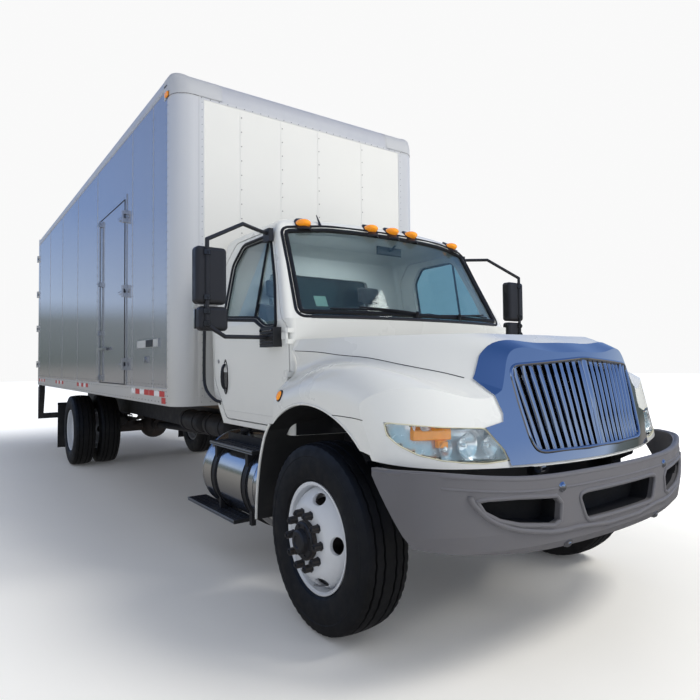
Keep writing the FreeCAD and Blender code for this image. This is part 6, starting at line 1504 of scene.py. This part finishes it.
irons, pots, dampers = Shape(), Shape(), Shape()
for s in (-1, 1):
    for x, seat, rise in ((0.0, 0.520, 0.052), (REAR_AXLE, 0.596, 0.065)):
        for dx in (-0.060, 0.060):
            for dy in (-0.045, 0.045):
                spot = at(x + dx, s * 0.392 + dy, seat - 0.06)
                irons.tube([spot, spot + Vector((0, 0, rise + 0.09))], 0.008, 8)
            irons.tube([at(x + dx, s * 0.392 - 0.047, seat + rise + 0.03),
                        at(x + dx, s * 0.392, seat + rise + 0.036),
                        at(x + dx, s * 0.392 + 0.047, seat + rise + 0.03)], 0.009, 8)
        for end in (-1, 1):
            reach = 0.660 if x == 0 else 0.710
            lift = 0.072 if x == 0 else 0.036
            eye = at(x + end * reach, s * 0.392, seat + 0.013 * (3 if x == 0 else 4) + lift + 0.0065)
            hex_nut(irons, eye + Vector((0, s * 0.038, 0)), (0, s, 0), 0.017, 0.016)
            hex_nut(irons, eye - Vector((0, s * 0.038, 0)), (0, -s, 0), 0.017, 0.016)
    x, y = REAR_AXLE + 0.16, 0.53
    pots.tube([at(x - 0.09, s * y, 0.62), at(x - 0.04, s * y, 0.625)], 0.030, 12)
    pots.disc_stack(at(x - 0.05, s * y, 0.625), (1, 0, 0),
                    [(0, 0.060), (0.02, 0.082), (0.055, 0.082), (0.058, 0.088),
                                                           (0.064, 0.088), (0.067, 0.080), (0.115, 0.076),
                                                           (0.130, 0.055)], 24)
    pots.tube([at(REAR_AXLE, s * (y - 0.02), 0.575), at(REAR_AXLE + 0.06, s * y, 0.60),
               at(x - 0.05, s * y, 0.622)], 0.022, 10)
    dampers.tube([at(0.10, s * 0.300, 0.480), at(0.125, s * 0.315, 0.640)], 0.030, 14)
    dampers.tube([at(0.125, s * 0.315, 0.630), at(0.150, s * 0.330, 0.800)], 0.022, 14)
    dampers.tube([at(0.06, s * 0.300, 0.470), at(0.10, s * 0.300, 0.475), at(0.13, s * 0.300, 0.480)], 0.014,
                 8)
    dampers.tube([at(0.150, s * 0.325, 0.795), at(0.150, s * 0.380, 0.800), at(0.150, s * 0.425, 0.800)],
                 0.014, 8)
irons.make("spring_irons", "spring_steel", "chassis", angle=25)
pots.make("brake_pots", "frame_black", "chassis")
dampers.make("dampers", "frame_black", "chassis")
tanks = Shape()
for x0, x1 in ((-2.35, -2.95), (-3.05, -3.65)):
    tanks.disc_stack(at(x0, -0.570, 0.860), (-1, 0, 0), [(0, 0.020), (0.010, 0.070), (0.030, 0.100),
                                                         (0.055, 0.108),
                                                         (x0 - x1 - 0.055, 0.108), (x0 - x1 - 0.03, 0.100),
                                                         (x0 - x1 - 0.01, 0.070), (x0 - x1, 0.020)], 32)
    for x in (x0 - 0.14, x1 + 0.14):
        loop = [at(x, -0.570 + 0.111 * math.cos(a), 0.860 + 0.111 * math.sin(a)) for a in turns(32)]
        closed_tube(tanks, loop, 0.006, 6)
        tanks.box(at(x - 0.02, -0.500, 0.800), at(x + 0.02, -0.430, 0.920))
tanks.make("air_tanks", "frame_black", "chassis")
pipe = Shape()
run = [(-0.35, 0.34, 0.80), (-0.60, 0.36, 0.72), (-0.95, 0.36, 0.66), (-1.50, 0.36, 0.64),
       (-2.00, 0.42, 0.66),
       (-2.25, 0.58, 0.70), (-2.42, 0.60, 0.70)]
pipe.tube(smooth_path([at(*p) for p in run], 6), 0.045, 14)
pipe.disc_stack(at(-2.40, 0.60, 0.70), (-1, 0, 0), [(0, 0.05), (0.02, 0.10), (0.05, 0.135), (1.05, 0.135),
                                                    (1.08, 0.10), (1.10, 0.05)], 36)
run = [(-3.48, 0.60, 0.70), (-3.62, 0.62, 0.70), (-3.80, 0.72, 0.68), (-3.92, 0.95, 0.66),
       (-3.95, 1.17, 0.64)]
pipe.tube(smooth_path([at(*p) for p in run], 6), 0.045, 14)
pipe.make("exhaust", "exhaust", "chassis")
hangers = Shape()
for x in (-2.55, -3.35):
    hangers.box(at(x - 0.02, 0.430, 0.790), at(x + 0.02, 0.640, 0.845))
    loop = [at(x, 0.600 + 0.138 * math.cos(a), 0.700 + 0.138 * math.sin(a)) for a in turns(36)]
    closed_tube(hangers, loop, 0.006, 6)
hangers.make("exhaust_hangers", "frame_black", "chassis")
ends = Shape()
for s in (-1, 1):
    outline = [(s * 1.081, 3.856), (s * 1.235, 3.856), (s * 1.262, 3.845), (s * 1.2725, 3.82),
               (s * 1.2725, 3.668), (s * 1.081, 3.668)]
    ends.rings([[at(-2.0718, y, z) for y, z in outline], [at(-2.0700, y, z) for y, z in outline]], caps=True)
ends.make("top_rail_ends", "mill_upright", "chassis", smooth=False)

# Camera, light and floor

camera_data = bpy.data.cameras.new("camera")
camera_data.sensor_width = 36
camera_data.lens = 29.52
camera_data.shift_x = -0.0402
camera_data.shift_y = -0.0088
camera = bpy.data.objects.new("camera", camera_data)
bpy.context.collection.objects.link(camera)
bpy.context.scene.camera = camera
yaw, pitch, roll = math.radians(142.6275), math.radians(1.9497), math.radians(-0.6221)
ahead = Vector((math.cos(yaw) * math.cos(pitch), math.sin(yaw) * math.cos(pitch), math.sin(pitch)))
level = Vector((math.sin(yaw), -math.cos(yaw), 0))
above = level.cross(ahead)
right = level * math.cos(roll) + above * math.sin(roll)
upward = -level * math.sin(roll) + above * math.cos(roll)
basis = Matrix((right, upward, -ahead)).transposed().to_4x4()
camera.matrix_world = Matrix.Translation(at(2.70257, -2.74910, 1.44777)) @ basis

floor_mesh = bpy.data.meshes.new("floor")
floor_mesh.from_pydata([(-60, -60, 0), (60, -60, 0), (60, 60, 0), (-60, 60, 0)], [], [(0, 1, 2, 3)])
floor = bpy.data.objects.new("floor", floor_mesh)
bpy.context.collection.objects.link(floor)
floor_look = material("floor_pale_painted_shadow", (0.90, 0.88, 0.84), rough=0.8, vary=0.01, Emission_Color=(1, 1, 1, 1))
# Painted shadow: the floor's emission is faint under and near the truck's footprint and rises to pale about
# 4.5 m out, so the floor is dark under the truck.
tree = floor_look.node_tree
coords = node_of(tree, "ShaderNodeTexCoord")
away = node_of(tree, "ShaderNodeVectorMath", operation="ABSOLUTE")
tree.links.new(coords.outputs["Object"], away.inputs[0])
outside = node_of(tree, "ShaderNodeVectorMath", operation="SUBTRACT")
outside.inputs[1].default_value = (5.4, 1.3, 0)
tree.links.new(away.outputs["Vector"], outside.inputs[0])
kept = node_of(tree, "ShaderNodeVectorMath", operation="MAXIMUM")
tree.links.new(outside.outputs["Vector"], kept.inputs[0])
length = node_of(tree, "ShaderNodeVectorMath", operation="LENGTH")
tree.links.new(kept.outputs["Vector"], length.inputs[0])
painted_shadow_glow = node_of(tree, "ShaderNodeMapRange", interpolation_type="SMOOTHSTEP")
painted_shadow_glow.inputs["From Max"].default_value = 4.5
painted_shadow_glow.inputs["To Min"].default_value = 0.03
painted_shadow_glow.inputs["To Max"].default_value = 0.75
tree.links.new(length.outputs["Value"], painted_shadow_glow.inputs["Value"])
tree.links.new(painted_shadow_glow.outputs["Result"], tree.nodes["Principled BSDF"].inputs["Emission Strength"])
floor_mesh.materials.append(floor_look)
floor.visible_glossy = False

world = bpy.data.worlds.new("world")
bpy.context.scene.world = world
world.use_nodes = True
tree = world.node_tree
background = tree.nodes["Background"]
coords = node_of(tree, "ShaderNodeTexCoord")
split = node_of(tree, "ShaderNodeSeparateXYZ")
tree.links.new(coords.outputs["Generated"], split.inputs["Vector"])
ramp = node_of(tree, "ShaderNodeValToRGB")
stops = ramp.color_ramp.elements
stops[0].position, stops[0].color = 0.30, (0.10, 0.10, 0.105, 1)
stops[1].position, stops[1].color = 0.494, (0.26, 0.25, 0.235, 1)
SKY = ((0.503, (0.10, 0.12, 0.11, 1)), (0.535, (0.16, 0.19, 0.20, 1)), (0.55, (0.42, 0.53, 0.72, 1)),
       (0.62, (0.19, 0.31, 0.60, 1)), (0.80, (0.085, 0.17, 0.43, 1)), (1.0, (0.05, 0.12, 0.34, 1)))
for position, color in SKY:
    stop = stops.new(position)
    stop.color = color
shifted = node_of(tree, "ShaderNodeMapRange")
shifted.inputs["From Min"].default_value = -1
tree.links.new(split.outputs["Z"], shifted.inputs["Value"])
tree.links.new(shifted.outputs["Result"], ramp.inputs["Fac"])
rays = node_of(tree, "ShaderNodeLightPath")
glossy = node_of(tree, "ShaderNodeMix", data_type="RGBA")
glossy.inputs["A"].default_value = (0.44, 0.48, 0.56, 1)
tree.links.new(rays.outputs["Is Glossy Ray"], glossy.inputs["Factor"])
tree.links.new(ramp.outputs["Color"], glossy.inputs["B"])
through = node_of(tree, "ShaderNodeMix", data_type="RGBA")
through.inputs["B"].default_value = (0.33, 0.60, 0.76, 1)
tree.links.new(rays.outputs["Is Transmission Ray"], through.inputs["Factor"])
tree.links.new(glossy.outputs["Result"], through.inputs["A"])
seen = node_of(tree, "ShaderNodeMix", data_type="RGBA")
seen.inputs["B"].default_value = (1.0, 1.0, 1.0, 1)
tree.links.new(rays.outputs["Is Camera Ray"], seen.inputs["Factor"])
tree.links.new(through.outputs["Result"], seen.inputs["A"])
tree.links.new(seen.outputs["Result"], background.inputs["Color"])
background.inputs["Strength"].default_value = 0.95
bpy.context.scene.view_settings.view_transform = "Standard"


def area_light(name, place, aim, size, power, color=(1, 1, 1)):
    data = bpy.data.lights.new(name, "AREA")
    data.energy = power
    data.size = size
    data.color = color
    lamp = bpy.data.objects.new(name, data)
    bpy.context.collection.objects.link(lamp)
    lamp.location = place
    lamp.rotation_mode = "QUATERNION"
    lamp.rotation_quaternion = (Vector(aim) - Vector(place)).to_track_quat("-Z", "Y")
    return lamp


key = area_light("key", at(7, 5, 10), at(-1, 0, 1.2), 4, 1150, (1.0, 0.97, 0.90))
fill = area_light("front_fill", at(9, 3, 4), at(0, 0, 1.2), 5, 160)
side_fill = area_light("side_fill", at(2, -14, 8), at(-3, 0, 1.5), 8, 120)
cab_fill = area_light("cab_fill", at(-1.05, 0, 2.36), at(-1.25, 0, 1.2), 0.9, 9, (0.88, 0.97, 1.0))
for flag in ("visible_camera", "visible_transmission"):
    setattr(cab_fill, flag, False)
for lamp in (key, fill, side_fill, cab_fill):
    lamp.visible_glossy = False
